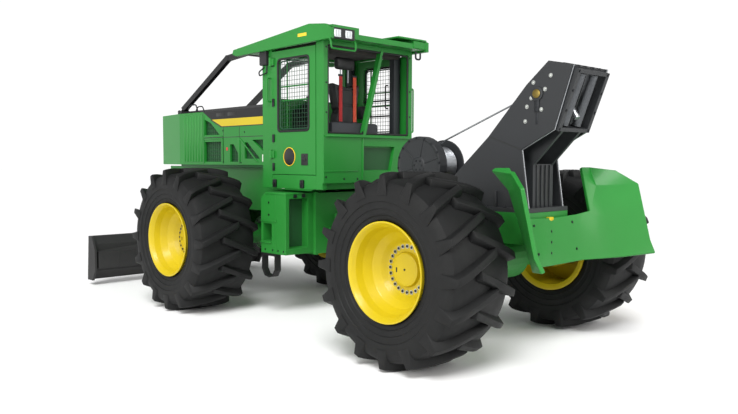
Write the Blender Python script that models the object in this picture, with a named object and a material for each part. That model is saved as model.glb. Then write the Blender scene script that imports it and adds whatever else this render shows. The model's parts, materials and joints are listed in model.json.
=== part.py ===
"""Articulated cable skidder, in metres, +X forward, +Y left, +Z up.

All places along the machine are measured from the rear axle, and the empty "skidder" shifts the
whole machine so that the middle of its length stands over the origin. What is ahead of the hood's
rear edge is placed from the front axle, so a longer wheelbase lengthens the hood and the frame.
"""

import math

import bmesh
import bpy
from mathutils import Matrix, Vector

# ---------------------------------------------------------------- driving dimensions
WHEELBASE = 3.59
REAR_REACH = 1.15            # rear axle to the trailing edge of the log guides
FRONT_REACH = 2.53           # front axle to the blade's cutting edge
FRONT_AXLE = WHEELBASE
REAR_AXLE_SHIFT = REAR_REACH - (REAR_REACH + WHEELBASE + FRONT_REACH) / 2

GAP = 0.0003                 # between pieces that touch
FREE = 0.006                 # between pieces that move past each other
ROUND_STEPS = 32             # facets round a wheel
SMALL_STEPS = 24             # facets round a drum, hub or pin

# wheels
TYRE_RADIUS = 0.844          # axle to the flat under the tyre
TYRE_WIDTH = 0.77
WHEEL_OFFSET = 1.235         # centre line to the middle of a tyre
RIM_WIDTH = 0.73
RIM_RADIUS = 0.4318          # top of the rim's flange
RIM_SEAT = 0.402             # the rim's outer wall, where the tyre's bead sits
RIM_WALL = 0.017
DISC_OFFSET = 0.065          # wheel disc, outboard of the tyre's middle
BOLT_CIRCLE = 0.20
HUB_CAP_RADIUS = 0.145
HUB_REACH = 0.30             # hub drum, inboard of the tyre's middle
HUB_RADIUS = 0.20

# axles
AXLE_RADIUS = 0.13
DIFFERENTIAL_RADIUS = 0.22
TRUNNION_RADIUS = 0.08
TRUNNION_REACH = 0.52

# articulation joint
PIVOT = 1.75                 # ahead of the rear axle
HITCH_RADIUS = 0.12
HITCH_PIN_RADIUS = 0.045
HITCH_PLATE = 0.06
HITCH_TOP = 1.23             # top of the rear frame's upper hitch plate
HITCH_BOTTOM = 0.65          # underside of its lower hitch plate
STEER_HEIGHT = 0.94
STEER_BASE = Vector((0.36, 0.22))     # barrel pin, from the pivot
STEER_EYE = Vector((-0.35, 0.19))     # rod pin, from the pivot

# frames
PLATE = 0.04
FRONT_FRAME_HALF = 0.48
FRONT_FRAME_REAR = 2.20
FRONT_FRAME_NOSE = FRONT_AXLE + 1.86
FRONT_FRAME_LOW = 0.70
AXLE_ARCH_TOP = 1.16
AXLE_ARCH_HALF = 0.41
FRONT_FRAME_TOP = 1.42
ENGINE_BED = 1.70
ENGINE_LOW = 1.44
ENGINE_REAR = FRONT_AXLE - 0.24
ENGINE_FRONT = FRONT_AXLE + 1.01
REAR_FRAME_HALF = 0.34
REAR_FRAME_TAIL = -0.558
REAR_FRAME_NOSE = 1.29
REAR_DECK = 1.31
REAR_FRAME_LOW = 0.60

# hood
HOOD_REAR = 2.90
HOOD_HALF = 0.60
HOOD_SIDE_END = FRONT_AXLE + 1.38
HOOD_LOW = 1.72
HOOD_TOP = 2.42
HOOD_CROWN = 2.465
HOOD_SHOULDER = 2.31         # where the black top meets the green side
GUARD_FRONT = FRONT_AXLE + 2.06
GUARD_FRONT_HALF = 0.486
SKIN = 0.03

# cab
CAB_REAR = 1.80
CAB_HALF = 0.70
CAB_FLOOR = 1.56
CAB_LOW = 1.46
CAB_SKIRT = 1.53
CAB_TOP = 3.08
CAB_WALL = 0.06
POST = 0.125
DOOR_REAR = 1.93
DOOR_FRONT = 2.71
DOOR_LOW = 1.62
DOOR_TOP = CAB_TOP - 0.052    # clear of the roof's rails as the door swings
DOOR_THICKNESS = 0.05
DOOR_FACE = 0.705
WINDOW_LOW = 2.10
WINDOW_TOP = DOOR_TOP - 0.088
ROOF_REAR = 1.60
ROOF_FRONT = 3.42
ROOF_HALF = 0.77
ROOF_PEAK = CAB_TOP + 0.17
ROOF_DECK = CAB_TOP + 0.06
LAMP_BOX_INNER = 0.36
SEAT_REAR = 2.09
SEAT_MIDDLE = 0.087           # the seat stands a little left of the centre line
SEAT_HALF = 0.25
HEADREST_HALF = 0.155
DASH_DEPTH = 0.095

# steps and side boxes
BOX_REAR = 2.24
BOX_FRONT = 2.70
BOX_OUT = 0.88
BOX_LOW = 0.72
BOX_TOP = 1.41
STEP_LOW = 0.44

# winch and arch
WINCH = 0.87
WINCH_HEIGHT = 1.73
WINCH_RADIUS = 0.30
CASE_WIDTH = 0.099           # gear case, along the drum's shaft
SHAFT_RADIUS = 0.05
SHAFT_REACH = 0.05           # shaft past each of the drum's flanges
WRAP_RADIUS = 0.19
FLANGE_RADIUS = 0.27
DRUM_HALF = 0.155
DRUM_MIDDLE = -0.06
LINE_RADIUS = 0.009
ARCH_HALF = 0.30
ARCH_PLATE = 0.035
SHEAVE = (-0.62, 2.37)
SHEAVE_RADIUS = 0.13
FAIRLEAD_FOOT = (-0.745, 2.06)
FAIRLEAD_LEAN = math.radians(20.8)
FAIRLEAD_HEIGHT = 0.56
ROLLER_RADIUS = 0.05
ROLLER_OFFSET = 0.105

# log guides
GUIDE_PLATE = 0.035
GUIDE_LOW = 0.86

# blade
BLADE_HALF = 1.45
BLADE_LOW = 0.07
BLADE_TOP = 0.70
BLADE_BACK = FRONT_AXLE + 2.38
BLADE_PLATE = 0.05
BLADE_PIVOT = (FRONT_AXLE + 0.97, 0.72)
ARM_WIDTH = 0.07
ARM_OFFSET = FRONT_FRAME_HALF + 0.03 + ARM_WIDTH / 2
LIFT_BASE = (FRONT_AXLE + 1.63, 1.50)     # barrel pin of the blade's cylinders
LIFT_EYE = (FRONT_AXLE + 2.25, 0.56)      # rod pin of the blade's cylinders
LIFT_OFFSET = 0.22

# cylinders
BARREL_RADIUS = 0.048
ROD_RADIUS = 0.026
EYE_RADIUS = 0.05
EYE_WIDTH = 0.06
EAR = 0.025
NECK = 0.03                  # from the eye's edge to the barrel's end wall
NECK_RADIUS = 0.027
END_WALL = 0.012             # the barrel's closed end
STEER_BARREL_SHARE = 0.604   # of the length between the pins, straight ahead
LIFT_BARREL_SHARE = 0.60
STEER_STROKE = 0.16         # how far a steering rod draws in from straight ahead
LIFT_STROKE = 0.39           # how far a blade cylinder's rod draws in as the blade rises

# ---------------------------------------------------------------- finishes
GREEN = (0.04, 0.33, 0.06)
YELLOW = (0.90, 0.66, 0.02)
DARK_GREY = (0.055, 0.055, 0.06)
BLACK = (0.015, 0.015, 0.016)
STEEL = (0.55, 0.55, 0.56)
FINISHES = {
    "green_paint": (GREEN, 0.35, 0.0),
    "yellow_paint": (YELLOW, 0.35, 0.0),
    "grey_paint": (DARK_GREY, 0.5, 0.0),
    "black_paint": (BLACK, 0.5, 0.0),
    "tyre_rubber": (BLACK, 0.85, 0.0),
    "bare_steel": (STEEL, 0.35, 1.0),
    "seat_fabric": (BLACK, 0.9, 0.0),
}


def clear_scene():
    for old in list(bpy.data.objects):
        bpy.data.objects.remove(old, do_unlink=True)


def make_finish(name):
    """A plain painted, bare or fabric surface."""
    colour, roughness, metallic = FINISHES[name]
    finish = bpy.data.materials.new(name)
    finish.use_nodes = True
    shader = finish.node_tree.nodes["Principled BSDF"]
    shader.inputs["Base Color"].default_value = (*colour, 1.0)
    shader.inputs["Roughness"].default_value = roughness
    shader.inputs["Metallic"].default_value = metallic
    finish.diffuse_color = (*colour, 1.0)
    return finish


def make_empty(name, place, parent=None):
    """A pivot that pieces hang from."""
    pivot = bpy.data.objects.new(name, None)
    bpy.context.collection.objects.link(pivot)
    pivot.location = place
    pivot.parent = parent
    return pivot


# ---------------------------------------------------------------- shapes
def to_object(bm, name="shape"):
    """Turn a bmesh into an object, its faces pointing out."""
    bmesh.ops.recalc_face_normals(bm, faces=bm.faces)
    mesh = bpy.data.meshes.new(name)
    bm.to_mesh(mesh)
    bm.free()
    shape = bpy.data.objects.new(name, mesh)
    bpy.context.collection.objects.link(shape)
    return shape


def block(low, high):
    """A box from its lowest corner to its highest."""
    bm = bmesh.new()
    bmesh.ops.create_cube(bm, size=1.0)
    size = [b - a for a, b in zip(low, high)]
    middle = [(a + b) / 2 for a, b in zip(low, high)]
    bmesh.ops.scale(bm, vec=size, verts=bm.verts)
    bmesh.ops.translate(bm, vec=middle, verts=bm.verts)
    return to_object(bm)


def prism(outline, axis, start, end):
    """A flat outline pushed from start to end along an axis.

    The outline's points are the two other coordinates in X, Y, Z order.
    """
    index = "XYZ".index(axis)
    bm = bmesh.new()
    verts = []
    for point in outline:
        place = list(point)
        place.insert(index, start)
        verts.append(bm.verts.new(place))
    face = bm.faces.new(verts)
    pushed = bmesh.ops.extrude_face_region(bm, geom=[face])
    moved = [item for item in pushed["geom"] if isinstance(item, bmesh.types.BMVert)]
    step = Vector((0, 0, 0))
    step[index] = end - start
    bmesh.ops.translate(bm, vec=step, verts=moved)
    return to_object(bm)


def rod(start, end, radius, steps=SMALL_STEPS, end_radius=None):
    """A round bar between two points."""
    start = Vector(start)
    end = Vector(end)
    axis = end - start
    turn = axis.to_track_quat("Z", "Y").to_matrix().to_4x4()
    place = Matrix.Translation((start + end) / 2) @ turn
    bm = bmesh.new()
    far = radius if end_radius is None else end_radius
    bmesh.ops.create_cone(bm, cap_ends=True, segments=steps, radius1=radius, radius2=far,
                          depth=axis.length, matrix=place)
    return to_object(bm)


def bar(start, end, width, height, up=(0, 0, 1)):
    """A flat-sided bar between two points."""
    start = Vector(start)
    end = Vector(end)
    along = (end - start).normalized()
    side = Vector(up).cross(along).normalized()
    top = along.cross(side)
    corners = []
    for a, b in ((-1, -1), (1, -1), (1, 1), (-1, 1)):
        corners.append(start + side * a * width / 2 + top * b * height / 2)
    bm = bmesh.new()
    face = bm.faces.new([bm.verts.new(corner) for corner in corners])
    pushed = bmesh.ops.extrude_face_region(bm, geom=[face])
    moved = [item for item in pushed["geom"] if isinstance(item, bmesh.types.BMVert)]
    bmesh.ops.translate(bm, vec=end - start, verts=moved)
    return to_object(bm)


def turned(profile, centre, side, steps):
    """A closed outline of (offset along the axle, radius) points, turned about the axle.

    side is +1 for a left wheel and -1 for a right one, and the first facet lies flat below.
    """
    bm = bmesh.new()
    spread = 1 / math.cos(math.pi / steps)
    verts = []
    for offset, radius in profile:
        verts.append(bm.verts.new((0, offset * side, radius * spread)))
    edges = []
    for first, second in zip(verts, verts[1:] + verts[:1]):
        if abs(first.co.z) + abs(second.co.z) > 0:
            edges.append(bm.edges.new((first, second)))
    half_facet = Matrix.Rotation(math.pi / steps, 3, "Y")
    bmesh.ops.rotate(bm, cent=(0, 0, 0), matrix=half_facet, verts=verts)
    bmesh.ops.spin(bm, geom=verts + edges, cent=(0, 0, 0), axis=(0, 1, 0),
                   angle=math.tau, steps=steps, use_merge=True)
    bmesh.ops.remove_doubles(bm, verts=bm.verts, dist=0.00005)
    bmesh.ops.dissolve_degenerate(bm, dist=0.00005, edges=bm.edges)
    bmesh.ops.translate(bm, vec=centre, verts=bm.verts)
    return to_object(bm)


def pipe(points, radius, steps=8):
    """A round tube along a line of points, its bends mitred."""
    curve = bpy.data.curves.new("route", "CURVE")
    curve.dimensions = "3D"
    curve.bevel_depth = radius
    curve.bevel_resolution = max(0, steps // 4)
    curve.use_fill_caps = True
    spline = curve.splines.new("POLY")
    spline.points.add(len(points) - 1)
    for knot, point in zip(spline.points, points):
        knot.co = (*point, 1.0)
    route = bpy.data.objects.new("route", curve)
    bpy.context.collection.objects.link(route)
    graph = bpy.context.evaluated_depsgraph_get()
    mesh = bpy.data.meshes.new_from_object(route.evaluated_get(graph))
    bpy.data.objects.remove(route, do_unlink=True)
    bm = bmesh.new()
    bm.from_mesh(mesh)
    bmesh.ops.remove_doubles(bm, verts=bm.verts, dist=0.00001)
    return to_object(bm)


def mirrored(shape):
    """A copy of a shape on the machine's other side."""
    bm = bmesh.new()
    bm.from_mesh(shape.data)
    bmesh.ops.scale(bm, vec=(1, -1, 1), verts=bm.verts)
    bmesh.ops.reverse_faces(bm, faces=bm.faces)
    return to_object(bm)


def combine(body, tool, operation):
    """Join or cut one shape with another, which is used up."""
    change = body.modifiers.new("shape", "BOOLEAN")
    change.operation = operation
    change.solver = "EXACT"
    change.object = tool
    graph = bpy.context.evaluated_depsgraph_get()
    mesh = bpy.data.meshes.new_from_object(body.evaluated_get(graph))
    body.modifiers.clear()
    body.data = mesh
    bpy.data.objects.remove(tool, do_unlink=True)
    return body


def join(shapes):
    """One body from shapes that overlap."""
    body = shapes[0]
    for shape in shapes[1:]:
        combine(body, shape, "UNION")
    return body


def cut(body, tools):
    """Take each tool's shape away from the body."""
    for tool in tools:
        combine(body, tool, "DIFFERENCE")
    return body


def both_sides(shape):
    """The shape and its twin on the other side."""
    return [shape, mirrored(shape)]


def piece(shape, name, finish, parent):
    """Name a finished shape and hang it from its pivot, its origin on that pivot."""
    shape.name = name
    shape.data.name = name
    shape.data.materials.clear()
    shape.data.materials.append(finish)
    shape.data.shade_smooth()
    shape.data.set_sharp_from_angle(angle=math.radians(30))
    place = Vector(parent.location) if parent.parent else Vector((0, 0, 0))
    shape.data.transform(Matrix.Translation(-place))
    shape.parent = parent
    return shape


# ---------------------------------------------------------------- wheels and axles
def wheel_centre(axle, side):
    return (axle, side * WHEEL_OFFSET, TYRE_RADIUS)


def tyre(axle, side):
    """The tyre's outer form, lug tips included, as a ring that fills the rim's well."""
    half = TYRE_WIDTH / 2
    bead = RIM_WIDTH / 2 - RIM_WALL - 0.004
    outer = [(bead, RIM_SEAT + GAP), (bead, RIM_RADIUS + 0.006), (half - 0.012, RIM_RADIUS + 0.05),
             (half, TYRE_RADIUS * 0.75), (half - 0.012, TYRE_RADIUS * 0.9),
             (half - 0.05, TYRE_RADIUS * 0.968), (half * 0.45, TYRE_RADIUS)]
    profile = outer + [(-offset, radius) for offset, radius in reversed(outer)]
    return turned(profile, wheel_centre(axle, side), side, ROUND_STEPS)


def rim(axle, side):
    """Rim barrel, dished disc and hub drum, turned as one piece."""
    edge = RIM_WIDTH / 2
    inner = RIM_SEAT - RIM_WALL
    profile = [(edge, RIM_RADIUS), (edge - 0.02, inner), (edge - 0.19, inner - 0.05),
               (DISC_OFFSET, BOLT_CIRCLE + 0.04), (DISC_OFFSET, HUB_CAP_RADIUS + 0.015),
               (DISC_OFFSET + 0.03, HUB_CAP_RADIUS), (DISC_OFFSET + 0.035, 0.0),
               (-HUB_REACH, 0.0), (-HUB_REACH, HUB_RADIUS * 0.75), (-HUB_REACH * 0.7, HUB_RADIUS),
               (0.0, HUB_RADIUS), (0.05, inner), (-edge, inner), (-edge, RIM_RADIUS),
               (-edge + RIM_WALL, RIM_RADIUS), (-edge + RIM_WALL, RIM_SEAT),
               (edge - RIM_WALL, RIM_SEAT), (edge - RIM_WALL, RIM_RADIUS)]
    return turned(profile, wheel_centre(axle, side), side, ROUND_STEPS)


def axle_beam(axle):
    """Axle tube from hub to hub with the differential case in its middle."""
    reach = WHEEL_OFFSET - HUB_REACH - FREE
    tube = rod((axle, -reach, TYRE_RADIUS), (axle, reach, TYRE_RADIUS), AXLE_RADIUS)
    case_half = 0.21
    case = rod((axle, -case_half, TYRE_RADIUS), (axle, case_half, TYRE_RADIUS),
               DIFFERENTIAL_RADIUS)
    return join([tube, case])


def front_axle():
    """The front axle rocks on a trunnion ahead of and behind its differential."""
    beam = axle_beam(FRONT_AXLE)
    trunnion = rod((FRONT_AXLE - TRUNNION_REACH, 0, TYRE_RADIUS),
                   (FRONT_AXLE + TRUNNION_REACH, 0, TYRE_RADIUS), TRUNNION_RADIUS)
    return join([beam, trunnion])


def rear_axle():
    """The rear axle is bolted up to the rear frame by two saddles."""
    saddle_top = rear_frame_arch_top() - GAP
    saddle = block((-0.10, REAR_FRAME_HALF - PLATE, TYRE_RADIUS),
                   (0.10, REAR_FRAME_HALF, saddle_top))
    return join([axle_beam(0.0)] + both_sides(saddle))


def rear_frame_arch_top():
    return TYRE_RADIUS + AXLE_RADIUS + 0.05


# ---------------------------------------------------------------- frames and steering
def hitch_plate(root, half_width, low, high):
    """A hitch plate from a frame's end plate to a round nose about the pivot."""
    direction = 1 if root < PIVOT else -1
    outline = [(root, -half_width), (root, half_width)]
    steps = 12
    for count in range(steps + 1):
        angle = math.pi / 2 - math.pi * count / steps
        outline.append((PIVOT + direction * HITCH_RADIUS * math.cos(angle),
                        HITCH_RADIUS * math.sin(angle)))
    return prism(outline, "Z", low, high)


def ear_pair(tip, root, level, half_width):
    """Two level ears that hold a steering cylinder's eye between them."""
    low, high = sorted((tip, root))
    ears = []
    for sign in (1, -1):
        inner = level + sign * (EYE_WIDTH / 2 + FREE)
        outer = inner + sign * EAR
        z_low, z_high = sorted((inner, outer))
        ears.append(block((low, half_width[0], z_low), (high, half_width[1], z_high)))
    return ears


def front_frame():
    """Two side plates arched over the front axle, joined by cross plates."""
    arch_rear = FRONT_AXLE - AXLE_ARCH_HALF
    arch_front = FRONT_AXLE + AXLE_ARCH_HALF
    outline = [(FRONT_FRAME_REAR, FRONT_FRAME_LOW), (arch_rear - 0.16, FRONT_FRAME_LOW),
               (arch_rear, AXLE_ARCH_TOP), (arch_front, AXLE_ARCH_TOP),
               (arch_front + 0.16, FRONT_FRAME_LOW - 0.08),
               (FRONT_FRAME_NOSE - 0.15, FRONT_FRAME_LOW - 0.08),
               (FRONT_FRAME_NOSE, 0.95), (FRONT_FRAME_NOSE, ENGINE_BED - GAP),
               (HOOD_REAR + 0.01, ENGINE_BED - GAP), (HOOD_REAR + 0.01, FRONT_FRAME_TOP),
               (FRONT_FRAME_REAR, FRONT_FRAME_TOP)]
    inner = FRONT_FRAME_HALF - PLATE
    side = prism(outline, "Y", inner, FRONT_FRAME_HALF)
    shapes = both_sides(side)
    overlap = 0.01
    half = inner + overlap
    shapes.append(block((FRONT_FRAME_REAR, -half, FRONT_FRAME_LOW + 0.01),
                        (FRONT_FRAME_REAR + PLATE, half, FRONT_FRAME_TOP - 0.01)))
    for place in (FRONT_AXLE - TRUNNION_REACH + 0.02, FRONT_AXLE + TRUNNION_REACH - 0.06):
        shapes.append(block((place, -half, FRONT_FRAME_LOW), (place + PLATE, half, 1.34)))
    nose_plate = FRONT_FRAME_NOSE - 0.59
    shapes.append(block((nose_plate, -half, 0.66), (nose_plate + PLATE, half, 1.60)))
    shapes.append(block((LIFT_BASE[0] - 0.17, -half, LIFT_BASE[1] - 0.03),
                        (LIFT_BASE[0] - 0.09, half, LIFT_BASE[1] + 0.07)))
    for place in (ENGINE_REAR + 0.05, ENGINE_FRONT - 0.10):
        shapes.append(block((place, -half, 1.36), (place + 0.08, half, ENGINE_LOW - GAP)))
    shapes.append(block((FRONT_FRAME_REAR + 0.02, -half, FRONT_FRAME_TOP - 0.05),
                        (HOOD_REAR + 0.03, half, FRONT_FRAME_TOP - 0.02)))
    upper = HITCH_TOP - HITCH_PLATE - 0.01
    lower = HITCH_BOTTOM + HITCH_PLATE + 0.01
    shapes.append(hitch_plate(FRONT_FRAME_REAR + 0.02, 0.19, upper - HITCH_PLATE, upper))
    shapes.append(hitch_plate(FRONT_FRAME_REAR + 0.02, 0.19, lower, lower + HITCH_PLATE))
    base_x = PIVOT + STEER_BASE.x
    base_y = STEER_BASE.y
    for ear in ear_pair(base_x - 0.045, FRONT_FRAME_REAR + 0.02, STEER_HEIGHT,
                        (base_y - 0.05, base_y + 0.05)):
        shapes += both_sides(ear)
    for sign in (1, -1):
        inner_y = LIFT_OFFSET + sign * (EYE_WIDTH / 2 + FREE)
        y_low, y_high = sorted((inner_y, inner_y + sign * EAR))
        ear = block((LIFT_BASE[0] - 0.10, y_low, LIFT_BASE[1] - 0.05),
                    (LIFT_BASE[0] + 0.05, y_high, LIFT_BASE[1] + 0.05))
        shapes += both_sides(ear)
    boss = rod((BLADE_PIVOT[0], FRONT_FRAME_HALF - 0.01, BLADE_PIVOT[1]),
               (BLADE_PIVOT[0], ARM_OFFSET + ARM_WIDTH / 2 + 0.02, BLADE_PIVOT[1]), 0.04)
    shapes += both_sides(boss)
    body = join(shapes)
    holes = []
    for place in (FRONT_AXLE - TRUNNION_REACH, FRONT_AXLE + TRUNNION_REACH - 0.08):
        holes.append(rod((place, 0, TYRE_RADIUS), (place + 0.08, 0, TYRE_RADIUS),
                         TRUNNION_RADIUS + 0.006))
    return cut(body, holes)


def engine_block():
    """Engine and gearbox as one plain mass on its bed."""
    outline = [(ENGINE_REAR, ENGINE_LOW + 0.10), (ENGINE_REAR + 0.10, ENGINE_LOW),
               (ENGINE_FRONT, ENGINE_LOW), (ENGINE_FRONT, 2.10), (ENGINE_REAR + 0.20, 2.10),
               (ENGINE_REAR, 1.90)]
    return prism(outline, "Y", -0.28, 0.28)


def rear_frame():
    """Rear frame: side plates over the axle, deck, end plates and hitch."""
    arch_top = rear_frame_arch_top()
    outline = [(REAR_FRAME_TAIL, arch_top), (0.28, arch_top), (0.52, REAR_FRAME_LOW + 0.05),
               (REAR_FRAME_NOSE, REAR_FRAME_LOW), (REAR_FRAME_NOSE, REAR_DECK - 0.01),
               (REAR_FRAME_TAIL, REAR_DECK - 0.01)]
    inner = REAR_FRAME_HALF - PLATE
    shapes = both_sides(prism(outline, "Y", inner, REAR_FRAME_HALF))
    half = inner + 0.01
    shapes.append(block((REAR_FRAME_NOSE - PLATE, -half, REAR_FRAME_LOW + 0.01),
                        (REAR_FRAME_NOSE, half, REAR_DECK - 0.02)))
    shapes.append(block((REAR_FRAME_TAIL, -half, arch_top + 0.01),
                        (REAR_FRAME_TAIL + PLATE, half, REAR_DECK - 0.02)))
    shapes.append(block((REAR_FRAME_TAIL, -REAR_FRAME_HALF, REAR_DECK - 0.03),
                        (REAR_FRAME_NOSE, REAR_FRAME_HALF, REAR_DECK)))
    hitch_half = 0.20
    root = REAR_FRAME_NOSE - 0.02
    shapes.append(hitch_plate(root, hitch_half, HITCH_TOP - HITCH_PLATE, HITCH_TOP))
    shapes.append(hitch_plate(root, hitch_half, HITCH_BOTTOM, HITCH_BOTTOM + HITCH_PLATE))
    eye_x = PIVOT + STEER_EYE.x
    for ear in ear_pair(root, eye_x + 0.045, STEER_HEIGHT,
                        (STEER_EYE.y - 0.05, STEER_EYE.y + 0.05)):
        shapes += both_sides(ear)
    return join(shapes)


def hitch_pins(frame):
    """The front frame's hitch plates carry the two upright pins, in holes with running room."""
    reach = HITCH_PLATE + 0.01
    upper = HITCH_TOP - HITCH_PLATE - 0.01
    lower = HITCH_BOTTOM + HITCH_PLATE + 0.01
    pins = [rod((PIVOT, 0, upper - 0.03), (PIVOT, 0, upper + reach + 0.02), HITCH_PIN_RADIUS),
            rod((PIVOT, 0, lower + 0.03), (PIVOT, 0, lower - reach - 0.02), HITCH_PIN_RADIUS)]
    return join([frame] + pins)


def hitch_holes(frame):
    hole_radius = HITCH_PIN_RADIUS + 0.0015
    holes = [rod((PIVOT, 0, HITCH_TOP - HITCH_PLATE - 0.02), (PIVOT, 0, HITCH_TOP + 0.02),
                 hole_radius),
             rod((PIVOT, 0, HITCH_BOTTOM - 0.02), (PIVOT, 0, HITCH_BOTTOM + HITCH_PLATE + 0.02),
                 hole_radius)]
    return cut(frame, holes)


def cylinder(base, eye, turn_axis, barrel_share, stroke_in):
    """A hydraulic cylinder's barrel and rod between two pins, with room to draw in by its stroke."""
    base = Vector(base)
    eye = Vector(eye)
    along = (eye - base).normalized()
    span = (eye - base).length
    cross = Vector(turn_axis) * EYE_WIDTH / 2
    barrel_start = base + along * (EYE_RADIUS + NECK)
    barrel_end = base + along * span * barrel_share
    neck = rod(base, barrel_start + along * 0.01, NECK_RADIUS, 16)
    barrel = join([rod(barrel_start, barrel_end, BARREL_RADIUS, 16),
                   rod(base - cross, base + cross, EYE_RADIUS, 16), neck])
    bore_start = barrel_start + along * END_WALL
    bore = rod(bore_start, barrel_end + along * 0.02, ROD_RADIUS + 0.003, 16)
    piston_rod = join([rod(bore_start + along * (stroke_in + FREE), eye - along * 0.02, ROD_RADIUS, 16),
                       rod(eye - cross, eye + cross, EYE_RADIUS, 16)])
    return cut(barrel, [bore]), piston_rod


# ---------------------------------------------------------------- hood
def hood_side():
    """One side panel with its screened windows cut."""
    outline = [(HOOD_REAR + GAP, HOOD_LOW), (HOOD_SIDE_END, HOOD_LOW), (HOOD_SIDE_END, HOOD_TOP),
               (HOOD_SIDE_END - 0.59, HOOD_TOP), (HOOD_SIDE_END - 0.80, HOOD_SHOULDER),
               (HOOD_REAR + GAP, HOOD_SHOULDER)]
    panel = prism(outline, "Y", HOOD_HALF - SKIN, HOOD_HALF)
    fore = HOOD_SIDE_END - 0.635
    aft = HOOD_REAR + 0.12
    windows = [
        [(fore - 0.355, 2.11), (fore, 2.11), (fore, 2.315), (fore - 0.145, 2.27)],
        [(fore - 0.39, 1.76), (fore, 1.76), (fore, 2.02), (fore - 0.39, 2.02)],
        [(fore - 0.775, 1.76), (fore - 0.595, 1.76), (fore - 0.595, 1.98), (fore - 0.675, 1.98),
         (fore - 0.775, 1.86)],
        [(aft + 0.08, 1.80), (aft + 0.40, 1.80), (aft + 0.40, 2.00), (aft + 0.34, 2.00)],
        [(aft, 2.03), (aft, 1.88), (aft + 0.24, 2.03)],
    ]
    cutters = [prism(window, "Y", HOOD_HALF - 2 * SKIN, HOOD_HALF + SKIN) for window in windows]
    return cut(panel, cutters)


def hood_top():
    """The black crowned cover over the engine, open below."""
    shoulder = 0.47
    low = HOOD_SHOULDER + GAP
    over = HOOD_TOP + GAP
    side_view = [(HOOD_REAR + GAP, low), (HOOD_SIDE_END - 0.80, low),
                 (HOOD_SIDE_END - 0.59, over), (HOOD_SIDE_END, over),
                 (HOOD_SIDE_END, HOOD_CROWN - 0.015), (HOOD_REAR + GAP, HOOD_CROWN)]
    cover = prism(side_view, "Y", -HOOD_HALF, HOOD_HALF)
    bevel = 0.05
    for side in (1, -1):
        above = HOOD_CROWN + 0.135
        wedge = [(side * (HOOD_HALF + 0.01), HOOD_CROWN - bevel), (side * (HOOD_HALF + 0.01), above),
                 (side * (HOOD_HALF - 0.09), above), (side * (HOOD_HALF - 0.09), HOOD_CROWN)]
        cut(cover, [prism(wedge, "X", HOOD_REAR - 0.1, HOOD_SIDE_END + 0.1)])
    hollow = [(HOOD_REAR - 0.1, 2.2), (HOOD_SIDE_END - 0.62, 2.2),
              (HOOD_SIDE_END - 0.62, HOOD_CROWN - 0.04), (HOOD_REAR - 0.1, HOOD_CROWN - 0.03)]
    return cut(cover, [prism(hollow, "Y", -shoulder, shoulder)])


def front_guard():
    """The tapered front housing with its grille, open behind and below."""
    rear = HOOD_SIDE_END + GAP
    plan = [(rear, HOOD_HALF), (GUARD_FRONT, GUARD_FRONT_HALF),
            (GUARD_FRONT, -GUARD_FRONT_HALF), (rear, -HOOD_HALF)]
    inner_plan = [(rear - 0.05, HOOD_HALF - SKIN), (GUARD_FRONT - SKIN, GUARD_FRONT_HALF - SKIN),
                  (GUARD_FRONT - SKIN, SKIN - GUARD_FRONT_HALF), (rear - 0.05, SKIN - HOOD_HALF)]
    shell = prism(plan, "Z", HOOD_LOW, HOOD_TOP)
    shell = cut(shell, [prism(inner_plan, "Z", HOOD_LOW - 0.1, HOOD_TOP - SKIN)])
    slots = []
    count = 6
    half = GUARD_FRONT_HALF - 0.09
    pitch = 2 * half / count
    for index in range(count):
        left = -half + pitch * index + 0.02
        slots.append(block((GUARD_FRONT - 2 * SKIN, left, HOOD_LOW + 0.10),
                           (GUARD_FRONT + SKIN, left + pitch - 0.04, HOOD_TOP - 0.10)))
    return cut(shell, slots)


def limb_risers():
    """Two bent bars that lift branches from the hood over the cab, tied at the top."""
    foot = (HOOD_SIDE_END + 0.06, 0.50, HOOD_TOP + 0.06)
    bend = (HOOD_SIDE_END - 1.06, 0.50, CAB_TOP + 0.01)
    head = (ROOF_FRONT + 0.05, 0.50, CAB_TOP + 0.045)
    width = 0.06
    lower = bar(foot, bend, width, 0.075)
    knee_half = width / 2 + 0.003
    knee = rod((bend[0], bend[1] - knee_half, bend[2]), (bend[0], bend[1] + knee_half, bend[2]),
               0.039, 12)
    upper = bar(bend, head, width, 0.07)
    side = join([lower, knee, upper])
    tie = block((ROOF_FRONT + GAP, -0.55, CAB_TOP), (ROOF_FRONT + 0.06, 0.55, CAB_TOP + 0.085))
    pad = block((HOOD_SIDE_END + 0.015, 0.44, HOOD_TOP + GAP),
                (HOOD_SIDE_END + 0.12, 0.56, HOOD_TOP + 0.05))
    return join([tie] + both_sides(side) + both_sides(pad))


# ---------------------------------------------------------------- cab
def cab_floor():
    """Floor pan with the sills under the doors."""
    inner = CAB_HALF - CAB_WALL - GAP
    pan = block((CAB_REAR + CAB_WALL + GAP, -inner, CAB_LOW),
                (HOOD_REAR - CAB_WALL - GAP, inner, CAB_FLOOR))
    sill = block((CAB_REAR + POST + GAP, inner - 0.02, CAB_LOW),
                 (DOOR_FRONT + 0.005 - GAP, CAB_HALF, DOOR_LOW - FREE))
    mount = block((BOX_REAR, 0.30, FRONT_FRAME_TOP + GAP), (BOX_REAR + 0.5, 0.42, CAB_LOW + 0.02))
    return join([pan] + both_sides(sill) + both_sides(mount))


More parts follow.
